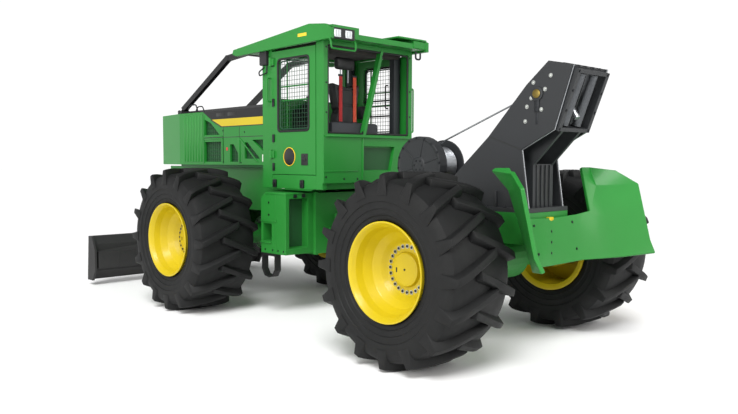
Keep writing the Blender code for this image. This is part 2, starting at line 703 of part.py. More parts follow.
def cab_rear_wall():
    """Rear wall: a sheet with the rear window cut and a brace across it, and corner posts."""
    wall = block((CAB_REAR, -CAB_HALF, CAB_SKIRT), (CAB_REAR + CAB_WALL, CAB_HALF, CAB_TOP))
    clear = CAB_HALF - CAB_WALL
    window = block((CAB_REAR - 0.1, -clear, 2.07), (CAB_REAR + 0.3, clear, CAB_TOP - 0.05))
    recess = prism([(-0.40, 1.94), (-0.34, 1.66), (0.11, 1.66), (0.11, 1.94)], "X",
                   CAB_REAR - 0.05, CAB_REAR + 0.04)
    wall = cut(wall, [window, recess])
    post = block((CAB_REAR + 0.02, CAB_HALF - CAB_WALL, CAB_LOW),
                 (CAB_REAR + POST, CAB_HALF, CAB_TOP))
    brace = bar((CAB_REAR + 0.03, 0.10, 2.03), (CAB_REAR + 0.03, -0.20, CAB_TOP - 0.02), 0.04, 0.065,
                up=(1, 0, 0))
    return join([wall, brace] + both_sides(post))


def cab_front_wall():
    """Front wall with the windscreen cut and the door posts."""
    front = HOOD_REAR - GAP
    wall = block((front - CAB_WALL, -CAB_HALF, CAB_LOW), (front, CAB_HALF, CAB_TOP))
    screen = block((front - 0.2, -0.56, HOOD_CROWN + 0.05), (front + 0.1, 0.56, CAB_TOP - 0.06))
    wall = cut(wall, [screen])
    post = block((DOOR_FRONT + 0.005, CAB_HALF - CAB_WALL, CAB_LOW),
                 (front - 0.01, CAB_HALF, CAB_TOP))
    return join([wall] + both_sides(post))


def cab_roof():
    """Roof: a flat deck between two raised side rails, and the lamp box at its rear corner."""
    low = CAB_TOP + GAP
    rear_top = ROOF_PEAK - 0.08
    deck = prism([(ROOF_REAR + 0.02, low), (ROOF_FRONT - 0.06, low), (ROOF_FRONT, CAB_TOP + 0.02),
                  (ROOF_FRONT - 0.12, ROOF_DECK - 0.01), (ROOF_REAR + 0.02, ROOF_DECK)],
                 "Y", 0.01 - ROOF_HALF, ROOF_HALF - 0.01)
    rail_view = [(ROOF_REAR, low - 0.02), (ROOF_FRONT - 0.08, low - 0.045),
                 (ROOF_FRONT, CAB_TOP - 0.015), (ROOF_FRONT - 0.02, CAB_TOP + 0.035),
                 (ROOF_REAR + 0.36, ROOF_PEAK), (ROOF_REAR + 0.10, ROOF_PEAK - 0.03),
                 (ROOF_REAR, rear_top)]
    rail = prism(rail_view, "Y", ROOF_HALF - 0.045, ROOF_HALF)
    ridge = prism([(ROOF_REAR + 0.01, low + 0.01), (ROOF_FRONT - 0.22, low + 0.01),
                   (ROOF_FRONT - 0.22, CAB_TOP + 0.04), (ROOF_REAR + 0.36, ROOF_PEAK - 0.002),
                   (ROOF_REAR + 0.10, ROOF_PEAK - 0.032), (ROOF_REAR + 0.01, rear_top - 0.002)],
                  "Y", 0.52, ROOF_HALF - 0.02)
    lamp_box = block((ROOF_REAR + 0.005, LAMP_BOX_INNER, low),
                     (ROOF_REAR + 0.38, ROOF_HALF - 0.03, ROOF_PEAK - 0.045))
    return join([deck] + both_sides(rail) + both_sides(ridge) + [lamp_box])


def door():
    """The left door: a framed panel with its window cut."""
    panel = block((DOOR_REAR, DOOR_FACE - DOOR_THICKNESS, DOOR_LOW),
                  (DOOR_FRONT, DOOR_FACE, DOOR_TOP))
    window = block((DOOR_REAR + 0.10, DOOR_FACE - 0.2, WINDOW_LOW),
                   (DOOR_FRONT - 0.10, DOOR_FACE + 0.2, WINDOW_TOP))
    rounded = window.modifiers.new("round corners", "BEVEL")
    rounded.width = 0.05
    rounded.segments = 3
    door_panel = cut(panel, [window])
    knuckles = []
    for height in (DOOR_LOW + 0.18, DOOR_TOP - 0.168):
        knuckles.append(rod((door_hinge()[0], door_hinge()[1], height),
                            (door_hinge()[0], door_hinge()[1], height + 0.10), 0.018, 12))
        knuckles.append(block((door_hinge()[0] - 0.06, DOOR_FACE - 0.01, height + 0.01),
                              (door_hinge()[0], door_hinge()[1], height + 0.09)))
    return join([door_panel] + knuckles)


def door_hinge():
    return (DOOR_FRONT + 0.004, DOOR_FACE + 0.02)


def seat_pieces():
    """Seat pedestal, cushion and back, facing forward."""
    rear = SEAT_REAR
    right = SEAT_MIDDLE - SEAT_HALF
    left = SEAT_MIDDLE + SEAT_HALF
    pedestal = join([block((rear + 0.13, right + 0.05, CAB_FLOOR + GAP), (rear + 0.54, left - 0.05, 1.80)),
                     block((rear + 0.03, right, 1.79), (rear + 0.56, left, 1.98))])
    cushion = block((rear + 0.18, right, 1.98 + GAP), (rear + 0.58, left, 2.10))
    bevel = cushion.modifiers.new("soft edge", "BEVEL")
    bevel.width = 0.03
    bevel.segments = 2
    back_view = [(rear + 0.04, 1.985), (rear + 0.17, 1.985), (rear + 0.155, 2.10), (rear + 0.10, 2.70),
                 (rear, 2.70)]
    back = prism(back_view, "Y", right + 0.01, left - 0.01)
    head_view = [(rear + 0.01, 2.69), (rear + 0.09, 2.69), (rear + 0.10, 2.98), (rear + 0.03, 2.98)]
    head = prism(head_view, "Y", SEAT_MIDDLE - HEADREST_HALF, SEAT_MIDDLE + HEADREST_HALF)
    return pedestal, cushion, join([back, head])


def control_console():
    """Dash and steering column ahead of the seat."""
    front = HOOD_REAR - 0.065
    face = front - DASH_DEPTH
    dash = prism([(face + 0.02, CAB_FLOOR + GAP), (front, CAB_FLOOR + GAP), (front, 2.36),
                  (face + 0.05, 2.40), (face, 2.30)], "Y", SEAT_MIDDLE - 0.22, SEAT_MIDDLE + 0.22)
    column = rod((face + 0.04, SEAT_MIDDLE, 2.24), (face - 0.06, SEAT_MIDDLE, 2.36), 0.03, 12)
    wheel = rod((face - 0.05, SEAT_MIDDLE, 2.352), (face - 0.065, SEAT_MIDDLE, 2.365), 0.17,
                SMALL_STEPS)
    return join([dash, column, wheel])


# ---------------------------------------------------------------- side boxes and steps
def side_box():
    """The box under a door, with its rear recess and boot shelf cut."""
    shell = prism([(BOX_REAR, BOX_LOW), (BOX_FRONT, BOX_LOW), (BOX_FRONT, BOX_TOP - 0.06),
                   (BOX_FRONT - 0.08, BOX_TOP), (BOX_REAR, BOX_TOP)], "Y",
                  FRONT_FRAME_HALF + GAP, BOX_OUT)
    recess = block((BOX_REAR - 0.1, FRONT_FRAME_HALF + 0.08, BOX_LOW + 0.07),
                   (BOX_REAR + 0.10, BOX_OUT - 0.05, BOX_TOP - 0.06))
    toe_hole = block((BOX_FRONT - 0.20, BOX_OUT - 0.16, BOX_LOW + 0.14),
                     (BOX_FRONT - 0.04, BOX_OUT + 0.1, BOX_LOW + 0.34))
    return cut(shell, [recess, toe_hole])


def step_loop():
    """The hanging boot loop below the box."""
    rear = BOX_FRONT - 0.27
    front = BOX_FRONT - 0.01
    depth = 0.08
    outer = [(rear, BOX_LOW - GAP), (rear, STEP_LOW + 0.09), (rear + 0.05, STEP_LOW + 0.015),
             (rear + 0.13, STEP_LOW), (front - 0.05, STEP_LOW + 0.015), (front, STEP_LOW + 0.09),
             (front, BOX_LOW - GAP)]
    strap = 0.022
    inner = [(rear + strap, BOX_LOW - 0.03), (rear + strap, STEP_LOW + 0.10),
             (rear + 0.065, STEP_LOW + 0.037), (rear + 0.13, STEP_LOW + strap),
             (front - 0.065, STEP_LOW + 0.037), (front - strap, STEP_LOW + 0.10),
             (front - strap, BOX_LOW - 0.03)]
    loop = prism(outer, "Y", BOX_OUT - depth, BOX_OUT)
    return cut(loop, [prism(inner, "Y", BOX_OUT - depth - 0.05, BOX_OUT + 0.05)])


# ---------------------------------------------------------------- winch, arch and fairlead
def winch_housing():
    """Winch base with the round gear case on the left and a bearing plate on the right."""
    case_inner = DRUM_MIDDLE + DRUM_HALF + FREE
    case_outer = case_inner + CASE_WIDTH
    case = rod((WINCH, case_inner, WINCH_HEIGHT), (WINCH, case_outer, WINCH_HEIGHT), WINCH_RADIUS,
               ROUND_STEPS)
    bearing_inner = DRUM_MIDDLE - DRUM_HALF - FREE
    bearing = rod((WINCH, bearing_inner - 0.05, WINCH_HEIGHT), (WINCH, bearing_inner, WINCH_HEIGHT),
                  0.15, SMALL_STEPS)
    base = block((WINCH - 0.35, bearing_inner - 0.059, REAR_DECK + GAP),
                 (WINCH + 0.35, case_outer + 0.01, REAR_DECK + 0.08))
    left_leg = prism([(WINCH - 0.27, REAR_DECK + 0.07), (WINCH + 0.27, REAR_DECK + 0.07),
                      (WINCH + 0.23, WINCH_HEIGHT), (WINCH - 0.23, WINCH_HEIGHT)],
                     "Y", case_inner + 0.002, case_outer - 0.002)
    right_leg = prism([(WINCH - 0.21, REAR_DECK + 0.07), (WINCH + 0.21, REAR_DECK + 0.07),
                       (WINCH + 0.12, WINCH_HEIGHT), (WINCH - 0.12, WINCH_HEIGHT)],
                      "Y", bearing_inner - 0.048, bearing_inner - 0.002)
    body = join([base, left_leg, right_leg, case, bearing])
    shaft_hole = rod((WINCH, bearing_inner - 0.1, WINCH_HEIGHT),
                     (WINCH, case_inner + SHAFT_REACH + 0.009, WINCH_HEIGHT), SHAFT_RADIUS + FREE)
    return cut(body, [shaft_hole])


def winch_drum():
    """The drum with its flanges, its laid rope as a plain barrel, and its shaft."""
    low = DRUM_MIDDLE - DRUM_HALF
    high = DRUM_MIDDLE + DRUM_HALF
    wraps = rod((WINCH, low + 0.01, WINCH_HEIGHT), (WINCH, high - 0.01, WINCH_HEIGHT), WRAP_RADIUS,
                ROUND_STEPS)
    shapes = [wraps]
    for start, end in ((low, low + 0.022), (high - 0.022, high)):
        shapes.append(rod((WINCH, start, WINCH_HEIGHT), (WINCH, end, WINCH_HEIGHT), FLANGE_RADIUS,
                          ROUND_STEPS))
    shapes.append(rod((WINCH, low - SHAFT_REACH, WINCH_HEIGHT),
                      (WINCH, high + SHAFT_REACH, WINCH_HEIGHT), SHAFT_RADIUS))
    return join(shapes)


def arch():
    """The fixed arch: two bent side plates on splayed feet, joined by a ribbed core."""
    foot = REAR_DECK + GAP
    upper = [(-0.97, 2.60), (-0.79, 2.05), (-0.46, 1.88), (-0.10, 2.01), (-0.505, 2.454),
             (-0.73, 2.65)]
    lower = [(-0.46, 1.88), (-0.54, foot + 0.02), (0.42, foot + 0.02), (0.40, 1.56), (-0.10, 2.01)]
    upper_plate = prism(upper, "Y", ARCH_HALF - ARCH_PLATE, ARCH_HALF)
    lower_plate = prism(lower, "Y", ARCH_HALF - ARCH_PLATE - 0.002, ARCH_HALF - 0.002)
    shapes = both_sides(upper_plate) + both_sides(lower_plate)
    base_half = ARCH_HALF + ARCH_PLATE
    shapes.append(block((-0.56, -base_half, foot), (0.46, base_half, foot + 0.04)))
    core_view = [(-0.50, foot + 0.02), (-0.50, 1.75), (-0.10, 1.75), (0.10, foot + 0.02)]
    shapes.append(prism(core_view, "Y", -0.135, 0.135))
    rib_rear = fairlead_place(-0.05, 0, -GAP)
    rib_front = fairlead_place(0.09, 0, -GAP)
    rib_view = [(-0.50, foot + 0.02), (-0.50, 1.74), (rib_rear.x, rib_rear.z),
                (rib_front.x, rib_front.z), (-0.22, 1.80), (0.16, foot + 0.02)]
    shapes += both_sides(prism(rib_view, "Y", 0.13, 0.165))
    for x, z in ((-0.16, 1.92), (0.20, 1.62)):
        tie = block((x - 0.02, -ARCH_HALF + 0.01, z - 0.05), (x + 0.02, ARCH_HALF - 0.01, z))
        shapes.append(tie)
    lid_low = FAIRLEAD_HEIGHT + GAP
    lid_half = ARCH_HALF - 0.01
    shapes.append(tilted(block((-0.01, -lid_half, lid_low), (0.08, lid_half, lid_low + 0.012))))
    return join(shapes)


def fairlead_place(x, y, z):
    """A point of the fairlead, from its own foot, tilted with it."""
    tilt = Matrix.Rotation(-FAIRLEAD_LEAN, 3, "Y")
    return tilt @ Vector((x, y, z)) + Vector((FAIRLEAD_FOOT[0], 0, FAIRLEAD_FOOT[1]))


def tilted(shape):
    """Tilt and move a shape made about the fairlead's foot to its place."""
    tilt = Matrix.Translation((FAIRLEAD_FOOT[0], 0, FAIRLEAD_FOOT[1]))
    shape.data.transform(tilt @ Matrix.Rotation(-FAIRLEAD_LEAN, 4, "Y"))
    return shape


def fairlead_frame():
    """The roller frame: two cheeks, a sill and a head."""
    inner = ARCH_HALF - ARCH_PLATE - GAP
    depth = 0.07
    head = FAIRLEAD_HEIGHT
    outer = block((-depth, -inner, 0), (depth, inner, head))
    mouth = block((-2 * depth, -inner + 0.05, 0.035), (2 * depth, inner - 0.05, head - 0.035))
    return tilted(cut(outer, [mouth]))


def fairlead_roller(side):
    """One upright roller of the fairlead, between sill and head."""
    low = 0.035 + FREE
    high = FAIRLEAD_HEIGHT - 0.035 - FREE
    return tilted(rod((0, side * ROLLER_OFFSET, low), (0, side * ROLLER_OFFSET, high),
                      ROLLER_RADIUS))


def arch_sheave():
    """The grooved pulley at the arch's top."""
    half = 0.03
    groove = SHEAVE_RADIUS - 0.03
    profile = [(half, SHEAVE_RADIUS), (half, 0.0), (-half, 0.0), (-half, SHEAVE_RADIUS),
               (-0.4 * half, groove), (0.4 * half, groove)]
    return turned(profile, (SHEAVE[0], 0, SHEAVE[1]), 1, SMALL_STEPS)


def line_route():
    """The winch line: from the drum's top, over the sheave, down to the fairlead's mouth."""
    over = SHEAVE_RADIUS - 0.03 + LINE_RADIUS + FREE
    start = Vector((WINCH - 0.05, 0, WINCH_HEIGHT + WRAP_RADIUS + LINE_RADIUS + FREE))
    run = Vector((SHEAVE[0], 0, SHEAVE[1])) - start
    lift = math.asin(over / run.length)
    slope = math.atan2(run.z, run.x) - lift
    touch = slope + math.pi / 2 - math.pi
    points = [start]
    steps = 10
    begin = touch if touch > 0 else touch + math.pi
    finish = math.radians(198)
    for count in range(steps + 1):
        angle = begin + (finish - begin) * count / steps
        points.append(Vector((SHEAVE[0] + over * math.cos(angle), 0,
                              SHEAVE[1] + over * math.sin(angle))))
    points.append(fairlead_place(0.0, 0, FAIRLEAD_HEIGHT * 0.30))
    return points


def winch_line():
    """The steel line, drawn up until its end ferrule rests in the fairlead."""
    route = line_route()
    end = route[-1]
    before = route[-2]
    down = (end - before).normalized()
    ferrule = rod(end - down * 0.05, end + down * 0.07, 0.028, 12)
    return join([pipe(route, LINE_RADIUS, 8), ferrule])


# ---------------------------------------------------------------- log guides
def butt_plate():
    """The log guides: one folded sheet, modelled on the left, doubled and given its thickness."""
    points = {
        "post_low": (-0.605, 0.0, GUIDE_LOW - 0.05), "post_top": (-0.595, 0.0, 1.255),
        "dish_low": (-0.70, 0.40, GUIDE_LOW - 0.02), "dish_top": (-0.61, 0.40, 1.27),
        "crease_low": (-0.90, 0.695, GUIDE_LOW), "crease_mid": (-0.765, 0.695, 1.24),
        "crease_top": (-0.65, 0.695, 1.54), "neck_low": (-0.66, 0.57, 1.30),
        "neck_top": (-0.60, 0.56, 1.60), "horn": (-0.55, 0.60, 1.72),
        "tail_low": (-REAR_REACH, 0.95, GUIDE_LOW + 0.045), "tail_corner": (-1.09, 0.965, 1.02),
        "tail_top": (-0.955, 0.965, 1.56), "fold_rear": (-0.775, 0.845, 1.69),
        "fold_front": (-0.53, 0.78, 1.72),
    }
    panels = [
        ("post_low", "dish_low", "dish_top", "post_top"),
        ("dish_low", "crease_low", "crease_mid", "dish_top"),
        ("dish_top", "crease_mid", "neck_low"),
        ("neck_low", "crease_mid", "crease_top", "neck_top"),
        ("neck_top", "crease_top", "fold_front", "horn"),
        ("crease_low", "tail_low", "tail_corner", "tail_top", "crease_top", "crease_mid"),
        ("crease_top", "tail_top", "fold_rear", "fold_front"),
    ]
    bm = bmesh.new()
    verts = {name: bm.verts.new(place) for name, place in points.items()}
    for names in panels:
        bm.faces.new([verts[name] for name in names])
    bmesh.ops.triangulate(bm, faces=bm.faces)
    bmesh.ops.recalc_face_normals(bm, faces=bm.faces)
    geometry = list(bm.verts) + list(bm.edges) + list(bm.faces)
    twin = bmesh.ops.duplicate(bm, geom=geometry)
    moved = [item for item in twin["geom"] if isinstance(item, bmesh.types.BMVert)]
    bmesh.ops.scale(bm, vec=(1, -1, 1), verts=moved)
    bmesh.ops.remove_doubles(bm, verts=bm.verts, dist=0.0001)
    bmesh.ops.recalc_face_normals(bm, faces=bm.faces)
    bmesh.ops.solidify(bm, geom=bm.faces, thickness=GUIDE_PLATE)
    return to_object(bm)


# ---------------------------------------------------------------- blade
def blade():
    """Mouldboard, end plates, back stiffener, push arms and cylinder ears."""
    face = [(FRONT_AXLE + FRONT_REACH, BLADE_LOW), (BLADE_BACK + 0.05, 0.20), (BLADE_BACK + 0.03, 0.42),
            (BLADE_BACK + 0.05, 0.58), (BLADE_BACK + 0.10, BLADE_TOP)]
    back = [(x - BLADE_PLATE, z) for x, z in reversed(face)]
    back[-1] = (FRONT_AXLE + FRONT_REACH - 0.04, BLADE_LOW)
    board = prism(face + back, "Y", -BLADE_HALF, BLADE_HALF)
    stiffener = block((BLADE_BACK - 0.10, -BLADE_HALF + 0.06, 0.24),
                      (BLADE_BACK + 0.02, BLADE_HALF - 0.06, 0.48))
    end = prism([(FRONT_AXLE + FRONT_REACH - 0.002, BLADE_LOW), (BLADE_BACK + 0.10, BLADE_TOP),
                 (BLADE_BACK - 0.01, BLADE_TOP), (BLADE_BACK - 0.10, 0.50), (BLADE_BACK - 0.10, 0.22),
                 (BLADE_BACK - 0.01, BLADE_LOW)], "Y", BLADE_HALF - 0.03, BLADE_HALF)
    arm_low = ARM_OFFSET - ARM_WIDTH / 2
    root, level = BLADE_PIVOT
    arm = prism([(root - 0.06, level - 0.07), (root + 0.44, 0.40), (BLADE_BACK - 0.02, 0.30),
                 (BLADE_BACK - 0.02, 0.44), (root + 0.54, 0.56), (root + 0.07, level + 0.07),
                 (root - 0.06, level + 0.07)], "Y", arm_low, arm_low + ARM_WIDTH)
    shapes = [board, stiffener] + both_sides(end) + both_sides(arm)
    for sign in (1, -1):
        inner_y = LIFT_OFFSET + sign * (EYE_WIDTH / 2 + FREE)
        y_low, y_high = sorted((inner_y, inner_y + sign * EAR))
        ear = prism([(LIFT_EYE[0] - 0.05, LIFT_EYE[1] - 0.05), (BLADE_BACK - 0.05, 0.40),
                     (BLADE_BACK, 0.42), (BLADE_BACK, 0.60), (LIFT_EYE[0] - 0.03, LIFT_EYE[1] + 0.05)],
                    "Y", y_low, y_high)
        shapes += both_sides(ear)
    body = join(shapes)
    hole = rod((BLADE_PIVOT[0], -ARM_OFFSET - ARM_WIDTH, BLADE_PIVOT[1]),
               (BLADE_PIVOT[0], ARM_OFFSET + ARM_WIDTH, BLADE_PIVOT[1]), 0.0425)
    return cut(body, [hole])


# ---------------------------------------------------------------- assembly
def main():
    clear_scene()
    finish = {name: make_finish(name) for name in FINISHES}
    green = finish["green_paint"]
    grey = finish["grey_paint"]
    black = finish["black_paint"]
    yellow = finish["yellow_paint"]
    skidder = make_empty("skidder", (REAR_AXLE_SHIFT, 0, 0))
    rock = make_empty("front_axle_pivot", (FRONT_AXLE, 0, TYRE_RADIUS), skidder)
    bend = make_empty("articulation_pivot", (PIVOT, 0, STEER_HEIGHT), skidder)

    for end, axle in (("front", FRONT_AXLE), ("rear", 0.0)):
        for side_name, side in (("left", 1), ("right", -1)):
            hub = make_empty(f"{end}_{side_name}_hub", wheel_centre(axle, side), skidder)
            piece(tyre(axle, side), f"tyre_{end}_{side_name}", finish["tyre_rubber"], hub)
            piece(rim(axle, side), f"rim_{end}_{side_name}", yellow, hub)

    piece(front_axle(), "front_axle", green, rock)
    piece(hitch_pins(front_frame()), "front_frame", green, skidder)
    piece(engine_block(), "engine_block", grey, skidder)
    side = hood_side()
    piece(mirrored(side), "hood_right", green, skidder)
    piece(side, "hood_left", green, skidder)
    piece(hood_top(), "hood_top", black, skidder)
    piece(front_guard(), "front_guard", green, skidder)
    piece(limb_risers(), "limb_risers", black, skidder)

    piece(cab_floor(), "cab_floor", green, skidder)
    piece(cab_rear_wall(), "cab_rear_wall", green, skidder)
    piece(cab_front_wall(), "cab_front_wall", green, skidder)
    piece(cab_roof(), "cab_roof", green, skidder)
    pedestal, cushion, back = seat_pieces()
    piece(pedestal, "seat_base", black, skidder)
    piece(cushion, "seat_cushion", finish["seat_fabric"], skidder)
    piece(back, "seat_back", finish["seat_fabric"], skidder)
    piece(control_console(), "control_console", black, skidder)
    box = side_box()
    piece(mirrored(box), "fuel_tank", green, skidder)
    piece(box, "battery_box", green, skidder)
    loop = step_loop()
    piece(mirrored(loop), "step_right", black, skidder)
    piece(loop, "step_left", black, skidder)

    left_door = door()
    hinge_x, hinge_y = door_hinge()
    right_door = mirrored(left_door)
    piece(left_door, "left_door", green, make_empty("left_door_hinge", (hinge_x, hinge_y, 0), skidder))
    piece(right_door, "right_door", green,
          make_empty("right_door_hinge", (hinge_x, -hinge_y, 0), skidder))

    piece(hitch_holes(rear_frame()), "rear_frame", green, bend)
    piece(rear_axle(), "rear_axle", green, bend)
    piece(winch_housing(), "winch_housing", grey, bend)
    piece(arch(), "arch", grey, bend)
    piece(butt_plate(), "butt_plate", green, bend)
    piece(fairlead_frame(), "fairlead_frame", grey, bend)
    piece(winch_line(), "winch_line", finish["bare_steel"], bend)
    drum_axis = make_empty("drum_axis", (WINCH, 0, WINCH_HEIGHT), skidder)
    piece(winch_drum(), "winch_drum", grey, drum_axis)
    sheave_axis = make_empty("sheave_axis", (SHEAVE[0], 0, SHEAVE[1]), skidder)
    piece(arch_sheave(), "arch_sheave", grey, sheave_axis)
    for side_name, side in (("left", 1), ("right", -1)):
        axis = make_empty(f"{side_name}_roller_axis",
                          fairlead_place(0, side * ROLLER_OFFSET, 0), skidder)
        piece(fairlead_roller(side), f"fairlead_roller_{side_name}", finish["bare_steel"], axis)

    lift = make_empty("blade_pivot", (BLADE_PIVOT[0], 0, BLADE_PIVOT[1]), skidder)
    piece(blade(), "blade", grey, lift)

    for side_name, side in (("left", 1), ("right", -1)):
        base = (PIVOT + STEER_BASE.x, side * STEER_BASE.y, STEER_HEIGHT)
        eye = (PIVOT + STEER_EYE.x, side * STEER_EYE.y, STEER_HEIGHT)
        barrel, piston_rod = cylinder(base, eye, (0, 0, 1), STEER_BARREL_SHARE, STEER_STROKE)
        pin = make_empty(f"steering_pin_{side_name}", base, skidder)
        piece(barrel, f"steering_barrel_{side_name}", black, pin)
        piece(piston_rod, f"steering_rod_{side_name}", finish["bare_steel"], pin)
        base = (LIFT_BASE[0], side * LIFT_OFFSET, LIFT_BASE[1])
        eye = (LIFT_EYE[0], side * LIFT_OFFSET, LIFT_EYE[1])
        barrel, piston_rod = cylinder(base, eye, (0, 1, 0), LIFT_BARREL_SHARE, LIFT_STROKE)
        pin = make_empty(f"blade_cylinder_pin_{side_name}", base, skidder)
        piece(barrel, f"blade_barrel_{side_name}", black, pin)
        piece(piston_rod, f"blade_rod_{side_name}", finish["bare_steel"], pin)


main()
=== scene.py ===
# %% [markdown]
# # An articulated cable skidder
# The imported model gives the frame: every plate, post and pin in its place, and the bodies that move.
# This script adds what a plain solid lacks: tread, bolts, mesh, lamps, cushions and the paint itself.
# Everything is in metres, +X forward, +Y to the machine's left and +Z up.

# %% Load the frame
import json
import math

import bmesh
import bpy
from mathutils import Matrix, Vector
from mathutils.bvhtree import BVHTree


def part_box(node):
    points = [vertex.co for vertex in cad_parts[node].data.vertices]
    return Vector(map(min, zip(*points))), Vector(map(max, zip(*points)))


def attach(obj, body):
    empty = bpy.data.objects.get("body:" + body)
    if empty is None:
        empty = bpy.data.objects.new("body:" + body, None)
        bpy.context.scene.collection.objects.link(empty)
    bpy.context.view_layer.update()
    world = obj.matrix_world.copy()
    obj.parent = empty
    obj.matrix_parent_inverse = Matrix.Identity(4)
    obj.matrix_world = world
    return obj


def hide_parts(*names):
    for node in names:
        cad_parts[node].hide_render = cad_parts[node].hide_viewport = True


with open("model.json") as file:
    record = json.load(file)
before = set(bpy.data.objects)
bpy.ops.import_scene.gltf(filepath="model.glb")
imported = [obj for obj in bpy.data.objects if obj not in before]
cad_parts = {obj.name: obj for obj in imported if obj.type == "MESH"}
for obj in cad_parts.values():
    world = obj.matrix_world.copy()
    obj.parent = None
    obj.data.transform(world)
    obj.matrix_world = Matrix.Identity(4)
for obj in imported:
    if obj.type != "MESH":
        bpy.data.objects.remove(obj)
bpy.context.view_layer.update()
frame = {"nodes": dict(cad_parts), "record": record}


def middle(node):
    low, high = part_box(node)
    return (low + high) / 2


REAR_AXLE = middle("tyre_rear_left").x


def at(u, y, z):
    """A place measured along the machine from its rear axle."""
    return Vector((REAR_AXLE + u, y, z))


# %% [markdown]
# ## Colour and nodes
# Paint charts and screens give colours as sRGB hex, while shaders add up light in linear values, so
# one function converts. A second one adds a node, sets it and links it, so that a material reads
# from top to bottom like a recipe.

# %% Colour and node helpers


def hex_colour(code):
    """An sRGB hex colour as linear red, green, blue and alpha."""
    parts = [int(code[i:i + 2], 16) / 255 for i in (1, 3, 5)]
    linear = [p / 12.92 if p <= 0.04045 else ((p + 0.055) / 1.055) ** 2.4 for p in parts]
    return (*linear, 1.0)


def add_node(tree, kind, settings=None, inputs=None):
    """Add a node: settings are its own properties, inputs are values or other nodes' outputs."""
    node = tree.nodes.new(kind)
    for name, value in (settings or {}).items():
        setattr(node, name, value)
    for name, value in (inputs or {}).items():
        if isinstance(value, bpy.types.NodeSocket):
            tree.links.new(value, node.inputs[name])
        else:
            node.inputs[name].default_value = value
    return node


def start_material(name):
    """A new material with its tree, its shader and the object's own coordinates."""
    material = bpy.data.materials.new(name)
    material.use_nodes = True
    tree = material.node_tree
    place = add_node(tree, "ShaderNodeTexCoord").outputs["Object"]
    return material, tree, tree.nodes["Principled BSDF"], place


print("linear mid grey", [round(v, 3) for v in hex_colour("#808080")])

# %% [markdown]
# ## Enamel paint
# The machine is finished in two-pack polyurethane enamel sprayed on welded plate. Close up it has
# a fine orange peel, and over a whole panel the colour drifts a little where the film is thicker.
# Dust settles low down and on ledges. One function makes each colour, because only the pigment and
# the gloss differ. Orange peel is about 2 mm, too fine to see here, so it is drawn at 12 mm.

# %% Enamel paint


def enamel(name, colour, thin_film, dust, roughness, coat):
    """Sprayed enamel: pigment that drifts, dust low down and in specks, orange peel in the gloss."""
    material, tree, shader, place = start_material(name)
    drift = add_node(tree, "ShaderNodeTexNoise", inputs={"Vector": place, "Scale": 1.3, "Detail": 3.0})
    pigment = add_node(tree, "ShaderNodeMix", {"data_type": "RGBA"},
                       {0: drift.outputs["Fac"], 6: hex_colour(colour), 7: hex_colour(thin_film)})
    height = add_node(tree, "ShaderNodeSeparateXYZ", inputs={0: place})
    low_down = add_node(tree, "ShaderNodeMapRange", inputs={
        0: height.outputs["Z"], 1: 0.3, 2: 1.7, 3: 0.32, 4: 0.02})
    specks = add_node(tree, "ShaderNodeTexNoise",
                      inputs={"Vector": place, "Scale": 22.0, "Detail": 6.0, "Roughness": 0.7})
    settled = add_node(tree, "ShaderNodeMath", {"operation": "MULTIPLY"},
                       {0: low_down.outputs[0], 1: specks.outputs["Fac"]})
    dusty = add_node(tree, "ShaderNodeMix", {"data_type": "RGBA"},
                     {0: settled.outputs[0], 6: pigment.outputs[2], 7: hex_colour(dust)})
    tree.links.new(dusty.outputs[2], shader.inputs["Base Color"])
    rough = add_node(tree, "ShaderNodeMath", {"operation": "MULTIPLY_ADD"},
                     {0: settled.outputs[0], 1: 0.9, 2: roughness})
    tree.links.new(rough.outputs[0], shader.inputs["Roughness"])
    peel = add_node(tree, "ShaderNodeTexNoise", inputs={"Vector": place, "Scale": 80.0, "Detail": 2.0})
    bump = add_node(tree, "ShaderNodeBump",
                    inputs={"Strength": 0.06, "Distance": 0.002, "Height": peel.outputs["Fac"]})
    tree.links.new(bump.outputs[0], shader.inputs["Normal"])
    shader.inputs["IOR"].default_value = 1.5
    shader.inputs["Specular IOR Level"].default_value = 0.35
    shader.inputs["Coat Weight"].default_value = coat
    shader.inputs["Coat Roughness"].default_value = 0.12
    return material


green = enamel("green_enamel", "#1A7326", "#1F802D", "#3F6034", 0.40, 0.06)
yellow = enamel("yellow_enamel", "#BFA706", "#C8B208", "#8F7F30", 0.32, 0.12)
grey = enamel("dark_grey_enamel", "#242628", "#2B2D30", "#45433F", 0.48, 0.0)
black = enamel("black_enamel", "#0C0D0E", "#121315", "#2C2B28", 0.42, 0.0)
print("enamels:", green.name, yellow.name, grey.name, black.name)

# %% [markdown]
# ## Rubber, steel and the rest
# Tyre rubber is carbon-black filled and moulded, matt with a faint sheen, greyer where it has been
# wiped. Its grain is drawn at 6 mm, as a real one is too fine to see. Bare steel is ground or drawn,
# so it is grained. Chromed rods are mirror-like. The screens and the seat come later.

# %% Tyre rubber


